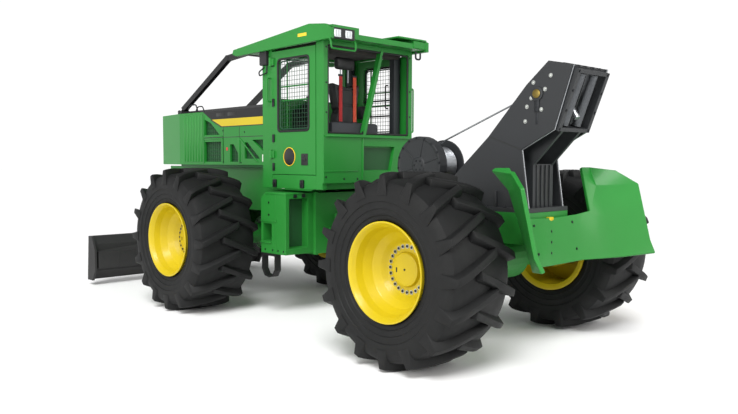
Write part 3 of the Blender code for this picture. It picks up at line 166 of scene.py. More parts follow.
def tyre_rubber():
    """Moulded rubber: near black, with bloom in soft patches and a fine moulded grain."""
    material, tree, shader, place = start_material("tyre_rubber")
    bloom = add_node(tree, "ShaderNodeTexNoise", inputs={"Vector": place, "Scale": 5.0, "Detail": 6.0,
                                                         "Roughness": 0.65})
    tone = add_node(tree, "ShaderNodeMix", {"data_type": "RGBA"},
                    {0: bloom.outputs["Fac"], 6: hex_colour("#070808"), 7: hex_colour("#111213")})
    tree.links.new(tone.outputs[2], shader.inputs["Base Color"])
    rough = add_node(tree, "ShaderNodeMapRange", inputs={0: bloom.outputs["Fac"], 1: 0.3, 2: 0.7,
                                                         3: 0.55, 4: 0.75})
    tree.links.new(rough.outputs[0], shader.inputs["Roughness"])
    grain = add_node(tree, "ShaderNodeTexNoise", inputs={"Vector": place, "Scale": 160.0, "Detail": 3.0})
    bump = add_node(tree, "ShaderNodeBump",
                    inputs={"Strength": 0.2, "Distance": 0.001, "Height": grain.outputs["Fac"]})
    tree.links.new(bump.outputs[0], shader.inputs["Normal"])
    shader.inputs["IOR"].default_value = 1.52
    shader.inputs["Specular IOR Level"].default_value = 0.3
    return material


rubber = tyre_rubber()
print("rubber:", rubber.name)

# %% Steel


def steel(name, colour, worn, roughness, grain_scale):
    """Bare metal: a grain stretched along X, and patches that have been rubbed brighter."""
    material, tree, shader, place = start_material(name)
    stretched = add_node(tree, "ShaderNodeMapping", inputs={"Vector": place, "Scale": (0.15, 1.0, 1.0)})
    grain = add_node(tree, "ShaderNodeTexNoise",
                     inputs={"Vector": stretched.outputs[0], "Scale": grain_scale, "Detail": 5.0})
    tone = add_node(tree, "ShaderNodeMix", {"data_type": "RGBA"},
                    {0: grain.outputs["Fac"], 6: hex_colour(colour), 7: hex_colour(worn)})
    tree.links.new(tone.outputs[2], shader.inputs["Base Color"])
    rough = add_node(tree, "ShaderNodeMath", {"operation": "MULTIPLY_ADD"},
                     {0: grain.outputs["Fac"], 1: 0.2, 2: roughness})
    tree.links.new(rough.outputs[0], shader.inputs["Roughness"])
    shader.inputs["Metallic"].default_value = 1.0
    return material


bare_steel = steel("drawn_steel", "#8F9296", "#B9BCC0", 0.28, 60.0)
chrome = steel("chromed_rod", "#B9BDC2", "#D5D8DC", 0.08, 90.0)
zinc = steel("zinc_plated_steel", "#A8ABA8", "#C9CCC8", 0.3, 120.0)
dark_steel = steel("blackened_steel", "#2B2C2E", "#45474A", 0.38, 40.0)
print("steels:", bare_steel.name, chrome.name, zinc.name, dark_steel.name)

# %% [markdown]
# ## Shapes
# Most fittings are cut plate, round bar, bent tube and bolts. Each helper starts from an operator's
# own shape, places it and rounds its edges, and a piece is gathered from as many as it needs. The
# finished object stays at the origin, with its place in its mesh, as the frame's own nodes do.

# %% Shape helpers


def soften(bm, width, segments=2, angle=30):
    """Round every edge sharper than the angle."""
    bm.normal_update()
    sharp = [e for e in bm.edges if len(e.link_faces) == 2
             and e.calc_face_angle(0) > math.radians(angle)]
    bmesh.ops.bevel(bm, geom=sharp, offset=width, offset_type="OFFSET", segments=segments,
                    profile=0.5, affect="EDGES", clamp_overlap=True, material=-1)
    return bm


def slab(low, high, round_edge=0.0):
    """A block between two corners, its edges rounded."""
    bm = bmesh.new()
    low, high = Vector(low), Vector(high)
    size = high - low
    place = Matrix.Translation((low + high) / 2) @ Matrix.Diagonal((*size, 1))
    bmesh.ops.create_cube(bm, size=1, matrix=place)
    return soften(bm, round_edge) if round_edge else bm


def bar(start, end, radius, steps=16, round_edge=0.0, end_radius=None):
    """A round bar between two points."""
    start, end = Vector(start), Vector(end)
    along = end - start
    place = Matrix.Translation((start + end) / 2) @ along.to_track_quat("Z", "Y").to_matrix().to_4x4()
    bm = bmesh.new()
    far = radius if end_radius is None else end_radius
    bmesh.ops.create_cone(bm, cap_ends=True, segments=steps, radius1=radius, radius2=far,
                          depth=along.length, matrix=place)
    return soften(bm, round_edge, 2, 50) if round_edge else bm


def cut_plate(outline, axis, start, end, round_edge=0.0):
    """A flat outline, of the two other coordinates, given its thickness along an axis."""
    index = "XYZ".index(axis)
    bm = bmesh.new()
    corners = []
    for point in outline:
        place = list(point)
        place.insert(index, start)
        corners.append(bm.verts.new(place))
    face = bm.faces.new(corners)
    pushed = bmesh.ops.extrude_face_region(bm, geom=[face])["geom"]
    step = Vector((0, 0, 0))
    step[index] = end - start
    bmesh.ops.translate(bm, vec=step, verts=[g for g in pushed if isinstance(g, bmesh.types.BMVert)])
    bmesh.ops.recalc_face_normals(bm, faces=bm.faces)
    return soften(bm, round_edge) if round_edge else bm


def rounded_route(points, radius, steps=5):
    """The points with each inner corner swapped for an arc of about that radius."""
    points = [Vector(p) for p in points]
    route = [points[0]]
    for before, corner, after in zip(points, points[1:], points[2:]):
        start = corner + (before - corner).normalized() * radius
        end = corner + (after - corner).normalized() * radius
        for k in range(steps + 1):
            t = k / steps
            route.append(start * (1 - t) ** 2 + corner * 2 * t * (1 - t) + end * t ** 2)
    return route + [points[-1]]


def tube(points, radius, sides=8):
    """A round tube swept along a line of points, with closed ends."""
    points = [Vector(p) for p in points]
    steps = [(b - a).normalized() for a, b in zip(points, points[1:])]
    aims = [steps[0]] + [(a + b).normalized() for a, b in zip(steps, steps[1:])] + [steps[-1]]
    bm = bmesh.new()
    turn = aims[0].to_track_quat("Z", "Y")
    ring = bmesh.ops.create_circle(bm, cap_ends=True, segments=sides, radius=radius,
                                   matrix=Matrix.Translation(points[0]) @ turn.to_matrix().to_4x4())
    edges = list({e for v in ring["verts"] for e in v.link_edges})
    for here, there, aim_now, aim_next in zip(points, points[1:], aims, aims[1:]):
        pushed = bmesh.ops.extrude_edge_only(bm, edges=edges)["geom"]
        verts = [g for g in pushed if isinstance(g, bmesh.types.BMVert)]
        edges = [g for g in pushed if isinstance(g, bmesh.types.BMEdge)]
        bmesh.ops.translate(bm, vec=there - here, verts=verts)
        swing = aim_now.rotation_difference(aim_next).to_matrix()
        bmesh.ops.rotate(bm, cent=there, matrix=swing, verts=verts)
    bmesh.ops.contextual_create(bm, geom=edges)
    bmesh.ops.recalc_face_normals(bm, faces=bm.faces)
    return bm


def pipe(route, bend, radius, sides=8):
    """A bent tube through points measured from the rear axle."""
    return tube(rounded_route([at(*point) for point in route], bend), radius, sides)


def hex_bolt(place, outward, size=0.012, washer=True):
    """A hexagon head on its washer; size is the head's radius."""
    place, outward = Vector(place), Vector(outward).normalized()
    parts = [bar(place, place + outward * size * 0.8, size, 6, size * 0.12)]
    if washer:
        parts.append(bar(place, place + outward * size * 0.18, size * 1.45, 14))
    return gather(parts)


def gather(parts):
    """One mesh from several."""
    whole = bmesh.new()
    for part in parts:
        mesh = bpy.data.meshes.new("part")
        part.to_mesh(mesh)
        part.free()
        whole.from_mesh(mesh)
        bpy.data.meshes.remove(mesh)
    return whole


def other_side(bm):
    """A copy mirrored to the machine's other side, its faces turned out again."""
    twin = bm.copy()
    bmesh.ops.scale(twin, vec=(1, -1, 1), verts=twin.verts)
    bmesh.ops.reverse_faces(twin, faces=twin.faces)
    return twin


def both(bm):
    return gather([other_side(bm), bm])


def put(name, bm, material, body="front_frame", stands_for=(), smooth=35):
    """Finish a piece: name it, paint it and let it ride on its body."""
    mesh = bpy.data.meshes.new(name)
    bm.to_mesh(mesh)
    bm.free()
    mesh.shade_smooth()
    mesh.set_sharp_from_angle(angle=math.radians(smooth))
    mesh.materials.append(material)
    piece = bpy.data.objects.new(name, mesh)
    bpy.context.collection.objects.link(piece)
    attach(piece, body)
    if stands_for:
        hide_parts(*stands_for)
    print(f"{name}: {len(mesh.polygons)} faces on {body}")
    return piece


print("shapes ready")

# %% [markdown]
# ## Camera, light and floor
# The machine is seen from behind its left rear wheel, a little under the winch's height. It stands
# on a pale studio floor under big soft lamps, which show the curves of the rims and the tread
# without hard shadows.

# %% Camera
camera_data = bpy.data.cameras.new("camera")
camera = bpy.data.objects.new("camera", camera_data)
bpy.context.collection.objects.link(camera)
camera_data.lens = 36.7
camera_data.sensor_width = 36.0
camera_data.clip_end = 200.0
camera.location = at(-4.3863, 6.0128, 1.7753)
YAW, PITCH, ROLL = math.radians(-44.107), math.radians(-3.507), math.radians(0.117)
aim = Vector((math.cos(YAW) * math.cos(PITCH), math.sin(YAW) * math.cos(PITCH), math.sin(PITCH)))
camera.rotation_mode = "QUATERNION"
roll_turn = Matrix.Rotation(ROLL, 3, "Z").to_quaternion()
camera.rotation_quaternion = aim.to_track_quat("-Z", "Y") @ roll_turn
bpy.context.scene.camera = camera
print("camera", tuple(round(v, 3) for v in camera.location))

# %% Light
WARM_WHITE = hex_colour("#FFFDF8")
sun_data = bpy.data.lights.new("big_soft_key", "SUN")
sun_data.energy = 2.9
sun_data.angle = math.radians(28)
sun = bpy.data.objects.new("big_soft_key", sun_data)
bpy.context.collection.objects.link(sun)
sun.rotation_mode = "QUATERNION"
sun.rotation_quaternion = Vector((0.52, -0.62, -1.0)).to_track_quat("-Z", "Y")


def area_lamp(name, place, target, size, power):
    """A square soft box aimed at a point."""
    data = bpy.data.lights.new(name, "AREA")
    data.size = size
    data.energy = power
    data.color = WARM_WHITE[:3]
    lamp = bpy.data.objects.new(name, data)
    bpy.context.collection.objects.link(lamp)
    lamp.location = place
    lamp.rotation_mode = "QUATERNION"
    lamp.rotation_quaternion = (Vector(target) - Vector(place)).to_track_quat("-Z", "Y")


area_lamp("left_box", (-2.5, 8.5, 4.0), (-0.3, 0, 1.4), 3.5, 260)
area_lamp("rear_box", (-9.5, -2.0, 4.5), (-2.5, 0, 1.4), 3.0, 200)
print("three lamps")

# %% Sky
# The backdrop is lit like a cyclorama: white round the horizon, dimmer overhead.
world = bpy.data.worlds.new("studio")
bpy.context.scene.world = world
world.use_nodes = True
sky_tree = world.node_tree
sky_aim = add_node(sky_tree, "ShaderNodeTexCoord").outputs["Generated"]
sky_height = add_node(sky_tree, "ShaderNodeSeparateXYZ", inputs={0: sky_aim})
sky_tone = add_node(sky_tree, "ShaderNodeMapRange", {"interpolation_type": "SMOOTHSTEP"}, {
    0: sky_height.outputs["Z"], 1: 0.22, 2: 0.6, 3: 1.05, 4: 0.25})
sky_tree.links.new(sky_tone.outputs[0], sky_tree.nodes["Background"].inputs["Strength"])
sky_tree.nodes["Background"].inputs["Color"].default_value = hex_colour("#FFFFFF")
bpy.context.scene.view_settings.view_transform = "Standard"
print("sky ready")

# %% Floor
floor_paint, floor_tree, floor_shader, floor_place = start_material("white_studio_paint")
mottle = add_node(floor_tree, "ShaderNodeTexNoise", inputs={"Vector": floor_place, "Scale": 0.6})
floor_tone = add_node(floor_tree, "ShaderNodeMix", {"data_type": "RGBA"}, {
    0: mottle.outputs["Fac"], 6: hex_colour("#F8F8F8"), 7: hex_colour("#FBFBFB")})
floor_tree.links.new(floor_tone.outputs[2], floor_shader.inputs["Base Color"])
floor_shader.inputs["Roughness"].default_value = 0.8
floor_shader.inputs["Specular IOR Level"].default_value = 0.2
floor_mesh = bpy.data.meshes.new("floor")
floor_bm = bmesh.new()
bmesh.ops.create_grid(floor_bm, x_segments=1, y_segments=1, size=150)
floor_bm.to_mesh(floor_mesh)
floor_bm.free()
floor_mesh.materials.append(floor_paint)
floor = bpy.data.objects.new("floor", floor_mesh)
bpy.context.collection.objects.link(floor)
print("floor", floor_mesh.name)

# %% [markdown]
# ## Finish of the frame's own parts
# The plates, posts and castings keep the frame's shape. Each takes the finish that the record names
# for it. Welded corners are never knife sharp, so a small live bevel rounds them: the frame's mesh
# itself is loose triangles, so a Weld joins them first.

# %% Finishes for the frame
CORNER_ROUNDING = 0.004
FINISH_OF_SLOT = {"green_paint": green, "yellow_paint": yellow, "grey_paint": grey,
                  "black_paint": black, "tyre_rubber": rubber, "bare_steel": bare_steel,
                  "seat_fabric": black}
SLOT_OF_NODE = {row["node"]: row["material_slot"] for row in frame["record"]["subparts"]}
for name, node in frame["nodes"].items():
    node.data.materials.clear()
    node.data.materials.append(FINISH_OF_SLOT[SLOT_OF_NODE[name]])
    weld = node.modifiers.new("join_triangles", "WELD")
    weld.merge_threshold = 0.0001
    rounding = node.modifiers.new("rounded_corners", "BEVEL")
    rounding.width = CORNER_ROUNDING
    rounding.segments = 2
    rounding.limit_method = "ANGLE"
    rounding.angle_limit = math.radians(40)
print(len(SLOT_OF_NODE), "nodes painted")

# %% [markdown]
# ## Tyres
# A forestry tyre is a smooth, wide carcass with tall straight bars that meet in a chevron and drive
# mud out sideways. The carcass is a profile spun round the axle. One bar is modelled flat, wrapped
# round the carcass by a formula, and repeated: sixteen a side, with the two sides half a step apart,
# so that each bar's inner end lies between two bars of the other side.

# %% Turned shapes
WHEELS = [(axle, side) for axle in ("front", "rear") for side in ("left", "right")]
tyre_low, tyre_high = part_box("tyre_rear_left")
TREAD_HALF = (tyre_high.y - tyre_low.y) / 2
TYRE_RADIUS = (tyre_high.z - tyre_low.z) / 2


def turned(profile, steps=96, closed=True):
    """Spin an outline of (offset along Y, radius) round the Y axis."""
    bm = bmesh.new()
    verts = [bm.verts.new((radius, offset, 0)) for offset, radius in profile]
    edges = [bm.edges.new(pair) for pair in zip(verts, verts[1:])]
    if closed:
        edges.append(bm.edges.new((verts[-1], verts[0])))
    bmesh.ops.spin(bm, geom=verts + edges, cent=(0, 0, 0), axis=(0, 1, 0), dvec=(0, 0, 0),
                   angle=2 * math.pi, steps=steps, use_merge=True)
    bmesh.ops.remove_doubles(bm, verts=bm.verts, dist=1e-5)
    bmesh.ops.recalc_face_normals(bm, faces=bm.faces)
    return bm


def rounded_outline(points, radius):
    """An outline of (offset, radius) pairs with its inner corners rounded."""
    route = rounded_route([(x, y, 0) for x, y in points], radius, 4)
    return [(p.x, p.y) for p in route]


def on_wheel(bm, axle, side):
    """Put a shape made round the Y axis, outboard along +Y, on its wheel."""
    whole = other_side(bm) if side == "right" else bm.copy()
    bmesh.ops.translate(whole, vec=middle(f"tyre_{axle}_{side}"), verts=whole.verts)
    return whole


print("tyre radius", round(TYRE_RADIUS, 3), "half width", round(TREAD_HALF, 3))

# %% Tyre carcass
TREAD_BASE = TYRE_RADIUS - 0.058
BEAD_RADIUS = 0.437


def carcass():
    """Half the section from the crown to the bead, with low rings on its wall, mirrored and spun."""
    half = [(0.0, TREAD_BASE), (0.17, TREAD_BASE - 0.004), (0.29, TREAD_BASE - 0.014),
            (0.345, TREAD_BASE - 0.034), (0.368, TREAD_BASE - 0.070), (0.378, TREAD_BASE - 0.120),
            (0.380, 0.610),
            (0.379, 0.600), (0.371, 0.594), (0.366, 0.545), (0.368, 0.538), (0.360, 0.532),
            (0.352, 0.492), (0.356, 0.484), (0.346, 0.476), (0.342, BEAD_RADIUS + 0.012),
            (0.334, BEAD_RADIUS)]
    inside = [(0.30, BEAD_RADIUS - 0.030), (0.30, BEAD_RADIUS + 0.02)]
    one_side = half + inside
    other = [(-offset, radius) for offset, radius in reversed(one_side[1:])]
    return turned(one_side + other)


def lug_top(offset):
    """The radius of a bar's top: flat across the crown, falling at the shoulder."""
    past = max(0.0, abs(offset) - 0.19)
    return TYRE_RADIUS - 0.001 - 0.72 * past ** 2


def carcass_top(offset):
    """The carcass under a bar, a little below its skin."""
    past = max(0.0, abs(offset) - 0.15)
    return TREAD_BASE - 0.012 - 2.3 * past ** 2


print("tread base", round(TREAD_BASE, 3))

# %% Tread bars
LUGS_A_SIDE = 16
LUG_PITCH = 2 * math.pi / LUGS_A_SIDE
LUG_SWEEP = math.radians(14.3)
INNER_END = -0.125


def lug():
    """One bar of the outboard half: a long cube cut along its length and wrapped."""
    bm = bmesh.new()
    bmesh.ops.create_cube(bm, size=1)
    lengthwise = [e for e in bm.edges if abs((e.verts[0].co - e.verts[1].co).y) > 0.5]
    bmesh.ops.subdivide_edges(bm, edges=lengthwise, cuts=8)
    for v in bm.verts:
        t = 0.5 - v.co.y
        top = v.co.z > 0
        outer = TREAD_HALF - (0.006 if top else 0.001)
        inner = INNER_END + (0.014 if top else 0.0)
        offset = outer + (inner - outer) * t
        radius = lug_top(offset) if top else carcass_top(offset)
        root = 0.056 + 0.026 * max(0.0, 1 - t / 0.35)
        half_width = 0.031 if top else root
        angle = -LUG_SWEEP * t + 2 * v.co.x * half_width / TYRE_RADIUS
        v.co = Vector((radius * math.cos(angle), offset, radius * math.sin(angle)))
    bmesh.ops.recalc_face_normals(bm, faces=bm.faces)
    return soften(bm, 0.007, 2, 35)


def tread():
    bars = []
    outboard = lug()
    inboard = other_side(outboard)
    for k in range(LUGS_A_SIDE):
        for bar_shape, shift in ((outboard, 0.0), (inboard, 0.5)):
            copy = bar_shape.copy()
            turn = Matrix.Rotation(-(k + shift) * LUG_PITCH, 3, "Y")
            bmesh.ops.rotate(copy, cent=(0, 0, 0), matrix=turn, verts=copy.verts)
            bars.append(copy)
    return gather(bars)


tyre_shape = gather([carcass(), tread()])
for axle, side in WHEELS:
    put(f"{side}_{axle}_tyre", on_wheel(tyre_shape, axle, side), rubber, f"wheel_{axle}_{side}",
        stands_for=[f"tyre_{axle}_{side}"])

# %% [markdown]
# ## Rims
# Each wheel is a deep one-piece rim, rolled and painted yellow, with its disc far inside. A ring of
# flange bolts holds it to the planetary hub, whose flat cover fills the middle. The section is spun
# with its corners rounded, as rolled steel has them. The bolts are left unpainted.

# %% Rims and wheel bolts
RIM_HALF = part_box("rim_rear_left")[1].y - middle("tyre_rear_left").y
RIM_EDGE = 0.4318
DISC = 0.065
BOLT_RING = 0.200
CAP_RADIUS = 0.145


def rim_shape():
    well = RIM_EDGE - 0.047
    outer = [(RIM_HALF - 0.018, RIM_EDGE - 0.026), (RIM_HALF - 0.016, RIM_EDGE),
             (RIM_HALF, RIM_EDGE), (RIM_HALF, RIM_EDGE - 0.012),
             (RIM_HALF - 0.020, RIM_EDGE - 0.028), (RIM_HALF - 0.050, well),
             (RIM_HALF - 0.120, well - 0.016), (RIM_HALF - 0.200, well - 0.055),
             (DISC + 0.050, 0.272), (DISC + 0.012, 0.240), (DISC, 0.226), (DISC, CAP_RADIUS + 0.016)]
    rounded = rounded_outline(outer, 0.006)
    cap = rounded_outline([(DISC, CAP_RADIUS + 0.010), (DISC + 0.032, CAP_RADIUS),
                           (DISC + 0.035, CAP_RADIUS - 0.012), (DISC + 0.035, 0.0)], 0.004)
    back = [(-0.30, 0.0), (-0.30, 0.15), (-0.21, 0.20), (0.0, 0.20), (0.05, well - 0.01),
            (-RIM_HALF + 0.02, well - 0.01), (-RIM_HALF, RIM_EDGE - 0.02), (-RIM_HALF, RIM_EDGE),
            (-RIM_HALF + 0.016, RIM_EDGE), (-RIM_HALF + 0.018, RIM_EDGE - 0.026)]
    return turned(rounded + cap + back)


def ring_of(shape, count, start=0.0):
    copies = []
    for k in range(count):
        copy = shape.copy()
        turn = Matrix.Rotation(start + 2 * math.pi * k / count, 3, "Y")
        bmesh.ops.rotate(copy, cent=(0, 0, 0), matrix=turn, verts=copy.verts)
        copies.append(copy)
    return gather(copies)


wheel_rim = rim_shape()
wheel_bolts = ring_of(hex_bolt((BOLT_RING, DISC, 0), (0, 1, 0), 0.0120, washer=False), 24)
wheel_washers = ring_of(bar((BOLT_RING, DISC - 0.002, 0), (BOLT_RING, DISC + 0.0045, 0), 0.0195, 16), 24)
cap_face = DISC + 0.034
cap_plugs = gather([bar((0, cap_face, 0), (0, cap_face + 0.006, 0), 0.010, 12, 0.002),
                    slab((0.088, cap_face, -0.030), (0.102, cap_face + 0.003, 0.012), 0.001)])
for axle, side in WHEELS:
    wheel = f"wheel_{axle}_{side}"
    put(f"{side}_{axle}_rim", on_wheel(wheel_rim, axle, side), yellow, wheel,
        stands_for=[f"rim_{axle}_{side}"])
    put(f"{side}_{axle}_wheel_bolts", on_wheel(wheel_bolts, axle, side), dark_steel, wheel)
    put(f"{side}_{axle}_wheel_washers", on_wheel(wheel_washers, axle, side), zinc, wheel)
    put(f"{side}_{axle}_cap_plugs", on_wheel(cap_plugs, axle, side), dark_steel, wheel)

# %% [markdown]
# ## Small finishes
# Guards are welded from painted wire, glazing seals are EPDM, lamps sit behind moulded polycarbonate
# and labels are printed vinyl, left blank here. All are small, so each has one broad trait: gloss
# for the lenses, a dull skin for the seals and a grain for what is moulded.

# %% Small finishes


def plain_finish(name, colour, second, roughness, scale, metallic=0.0, bump_height=0.0):
    """A finish whose tone and gloss vary gently at one scale."""
    material, tree, shader, place = start_material(name)
    patches = add_node(tree, "ShaderNodeTexNoise", inputs={"Vector": place, "Scale": scale, "Detail": 4.0})
    tone = add_node(tree, "ShaderNodeMix", {"data_type": "RGBA"}, {
        0: patches.outputs["Fac"], 6: hex_colour(colour), 7: hex_colour(second)})
    tree.links.new(tone.outputs[2], shader.inputs["Base Color"])
    rough = add_node(tree, "ShaderNodeMath", {"operation": "MULTIPLY_ADD"},
                     {0: patches.outputs["Fac"], 1: 0.15, 2: roughness})
    tree.links.new(rough.outputs[0], shader.inputs["Roughness"])
    if bump_height:
        bump = add_node(tree, "ShaderNodeBump", inputs={
            "Strength": 0.5, "Distance": bump_height, "Height": patches.outputs["Fac"]})
        tree.links.new(bump.outputs[0], shader.inputs["Normal"])
    shader.inputs["Metallic"].default_value = metallic
    return material


seal_rubber = plain_finish("epdm_seal", "#0F1111", "#1B1D1D", 0.6, 30.0)
guard_wire = plain_finish("dark_green_wire_enamel", "#0E3A22", "#12482B", 0.4, 25.0)
dark_wire = plain_finish("black_wire_enamel", "#121413", "#1E2120", 0.4, 25.0)
# A dark green that is painted shade: it stands for the shade in recesses, under the hood panels and in the
# engine bay seen through the hood screens.
painted_shade_green = plain_finish("painted_shade_green_enamel", "#0C3F18", "#145424", 0.55, 40.0)
moulded_black = plain_finish("moulded_black_abs", "#141516", "#1E1F21", 0.5, 120.0, bump_height=0.0005)
moulded_grey = plain_finish("moulded_grey_abs", "#202327", "#2B2F34", 0.55, 120.0, bump_height=0.0005)
headliner = plain_finish("felt_headliner", "#2C2927", "#403C39", 0.9, 60.0, bump_height=0.001)
lens = plain_finish("polycarbonate_lens", "#B9C0C4", "#F2F5F6", 0.05, 45.0)
white_label = plain_finish("white_vinyl_label", "#E6E6E0", "#F4F4EE", 0.35, 20.0)
yellow_label = plain_finish("yellow_vinyl_label", "#E8B820", "#F2C62B", 0.35, 20.0)
red_label = plain_finish("red_vinyl_label", "#B3241F", "#C23028", 0.35, 20.0)
black_label = plain_finish("black_vinyl_label", "#0C0D0C", "#161716", 0.3, 20.0)
brass_plate = plain_finish("yellow_zinc_plate", "#6B5C2E", "#8C7A44", 0.3, 30.0, metallic=1.0)
hose_rubber = plain_finish("hydraulic_hose_cover", "#101112", "#1C1D1E", 0.45, 60.0)
print("small finishes ready")

# %% [markdown]
# ## Doors
# Each door is a folded panel with a window in a rubber seal, a welded wire guard over the window, a
# recessed latch and a round badge. Everything on a door swings with it. The guard is a grid of round
# wires whose pitch is that of a common 45 mm screen, so it is a loop, not a texture: light comes
# through it and the seat shows behind.

# %% Frames and screens


def frame_points(low_a, low_b, high_a, high_b, radius, steps=4):
    """A rounded rectangle in two coordinates, walked round once."""
    corners = [(low_a, low_b), (high_a, low_b), (high_a, high_b), (low_a, high_b)]
    points = []
    for k, (a, b) in enumerate(corners):
        centre_a = a + (radius if a == low_a else -radius)
        centre_b = b + (radius if b == low_b else -radius)
        for step in range(steps + 1):
            angle = math.pi + (k + step / steps) * math.pi / 2
            points.append((centre_a + radius * math.cos(angle), centre_b + radius * math.sin(angle)))
    return points


def loop_tube(points, radius, sides=8):
    """A tube along a closed line, its end run a little past its start."""
    points = [Vector(p) for p in points]
    return tube(points + [points[0], points[0].lerp(points[1], 0.5)], radius, sides)


def screen(low_a, low_b, high_a, high_b, place, pitch, wire):
    """A grid of round wires; place turns the two coordinates into a point, second layer behind."""
    parts = []
    columns = round((high_a - low_a) / pitch)
    rows = round((high_b - low_b) / pitch)
    for k in range(1, columns):
        a = low_a + (high_a - low_a) * k / columns
        parts.append(bar(place(a, low_b, 0), place(a, high_b, 0), wire, 6))
    for k in range(1, rows):
        b = low_b + (high_b - low_b) * k / rows
        parts.append(bar(place(low_a, b, 1), place(high_a, b, 1), wire, 6))
    return gather(parts)


print("frame helper gives", len(frame_points(0, 0, 1, 1, 0.1)), "points")

# %% Door windows, latches and badges
DOOR_FACE = 0.705
INNER_BARS_Y = 0.668
BADGE = (2.387, 1.821)
LEFT_AND_RIGHT = (("left", 1), ("right", -1))


def on_door(u, z, out=0.0):
    return at(u, DOOR_FACE + out, z)


def in_window(inset):
    """The window's two corners, moved in by the same amount on all sides."""
    return 2.040 + inset, 2.110 + inset, 2.600 - inset, 2.930 - inset


def badge_edge(k):
    angle = k * math.pi / 20
    return on_door(BADGE[0] + 0.102 * math.cos(angle), BADGE[1] + 0.102 * math.sin(angle), 0.003)


window_ring = [on_door(u, z, -0.004) for u, z in frame_points(*in_window(0.0), 0.045)]
guard_ring = [on_door(u, z, -0.020) for u, z in frame_points(*in_window(0.026), 0.035)]
wires = screen(*in_window(0.010), lambda u, z, layer: on_door(u, z, -0.022 - 0.006 * layer), 0.046, 0.0026)
inner_bars = [bar(at(2.06, INNER_BARS_Y, z), at(2.58, INNER_BARS_Y, z), 0.009, 10) for z in (2.46, 2.62)]
inner_bars.append(bar(at(2.47, INNER_BARS_Y, 2.12), at(2.47, INNER_BARS_Y, 2.92), 0.008, 10))
latch = [slab(on_door(2.060, 1.724, -0.004), on_door(2.176, 1.854, 0.006), 0.008),
         slab(on_door(2.085, 1.775, 0.004), on_door(2.150, 1.800, 0.016), 0.005),
         bar(on_door(2.118, 1.828, 0.004), on_door(2.118, 1.828, 0.010), 0.011, 14, 0.002)]
hinges = [slab(on_door(2.66, z, -0.002), on_door(2.70, z + 0.09, 0.012), 0.004)
          for z in (2.86, 2.40, 1.99, 1.66)]
door_details = {
    "seal": (loop_tube(window_ring, 0.013), seal_rubber, ""),
    "guard_frame": (loop_tube(guard_ring, 0.008), guard_wire, ""),
    "guard_wires": (wires, guard_wire, ""),
    "inner_bars": (gather(inner_bars), green, ""),
    "latch": (gather(latch), moulded_black, ""),
    "badge": (bar(on_door(*BADGE), on_door(*BADGE, 0.004), 0.104, 40, 0.002), black_label, ""),
    "badge_ring": (loop_tube([badge_edge(k) for k in range(40)], 0.0045), yellow_label, ""),
    "hinge_blocks": (gather(hinges), dark_steel, "black_paint"),
}
for side, sign in LEFT_AND_RIGHT:
    for detail, (shape, finish, slot) in door_details.items():
        half = shape.copy() if sign > 0 else other_side(shape)
        put(f"{side}_door_{detail}", half, finish, f"{side}_door")

# %% [markdown]
# ## Cab fittings
# Round the doors are grab rails, a lamp box over a wire loop, the rear window's seal and bolts, and
# the lamps under the roof's rear corner. Rails are bent tube with small radii at their ends. All of
# it stays with the front half of the machine.

# %% Rails and lamps
front_rail = pipe([(2.745, 0.690, 2.73), (2.745, 0.745, 2.73), (2.745, 0.745, 2.46), (2.745, 0.690, 2.46)],
                  0.025, 0.009)
rear_rail = pipe([(1.815, 0.690, 2.64), (1.815, 0.735, 2.64), (1.815, 0.735, 2.12), (1.815, 0.690, 2.12)],
                 0.025, 0.010)
put("front_grab_rails", both(front_rail), green)
put("rear_grab_rail", other_side(rear_rail), green)
put("work_lamp_boxes", both(slab(at(2.775, 0.66, 2.885), at(2.915, 0.74, 3.060), 0.015)), moulded_black)
wire_loop = pipe([(2.80, 0.71, 2.89), (2.79, 0.72, 2.795), (2.925, 0.725, 2.77), (2.945, 0.72, 2.815),
                  (2.86, 0.70, 2.87)], 0.02, 0.008)
put("mirror_loops", both(wire_loop), dark_steel)

# %% Lamps and fittings under the roof
LAMP_FACE = 1.603
LAMP_Z = 3.119
LAMPS_Y = (0.515, 0.675)
lamp_housing = slab(at(LAMP_FACE - 0.002, 0.425, 3.062), at(LAMP_FACE + 0.03, 0.767, 3.178), 0.006)
put("rear_lamp_housing", lamp_housing, moulded_black)


def on_lamp(y, up, forward):
    """A point on the lamps' front, measured from the middle of their height."""
    return at(LAMP_FACE + forward, y, LAMP_Z + up)


lenses = [slab(on_lamp(y - 0.050, -0.041, -0.003), on_lamp(y + 0.050, 0.041, 0.01), 0.004) for y in LAMPS_Y]
put("rear_lamp_lenses", gather(lenses), lens)
bezel = frame_points(-0.052, -0.043, 0.052, 0.043, 0.012)
bezels = [loop_tube([on_lamp(y + across, up, -0.002) for across, up in bezel], 0.003) for y in LAMPS_Y]
bezels += [bar(on_lamp(y + across, -0.033, -0.003), on_lamp(y + across, 0.033, -0.003), 0.0018, 6)
           for y in LAMPS_Y for across in (-0.017, 0.017)]
put("rear_lamp_bezels", gather(bezels), moulded_black)
lamp_guard = pipe([(1.63, 0.765, 3.07), (1.605, 0.765, 3.02), (1.605, 0.755, 2.955), (1.605, 0.415, 2.955),
                   (1.605, 0.405, 3.02), (1.63, 0.405, 3.07)], 0.02, 0.010)
put("rear_lamp_guard", lamp_guard, green)
lifting_loop = pipe([(1.63, -0.655, 3.05), (1.63, -0.655, 2.965), (1.63, -0.575, 2.965),
                     (1.63, -0.575, 3.05)], 0.03, 0.011, 10)
put("roof_lifting_loop", lifting_loop, dark_steel)
put("roof_rear_cover", slab(at(1.605, -0.74, 3.178), at(2.05, -0.26, 3.198), 0.006), green)
put("roof_label", slab(at(2.00, 0.769, 3.128), at(2.15, 0.7705, 3.162)), yellow_label)
put("riser_pins", both(bar(at(3.40, 0.47, 3.125), at(3.40, 0.545, 3.125), 0.016, 14, 0.003)), brass_plate)

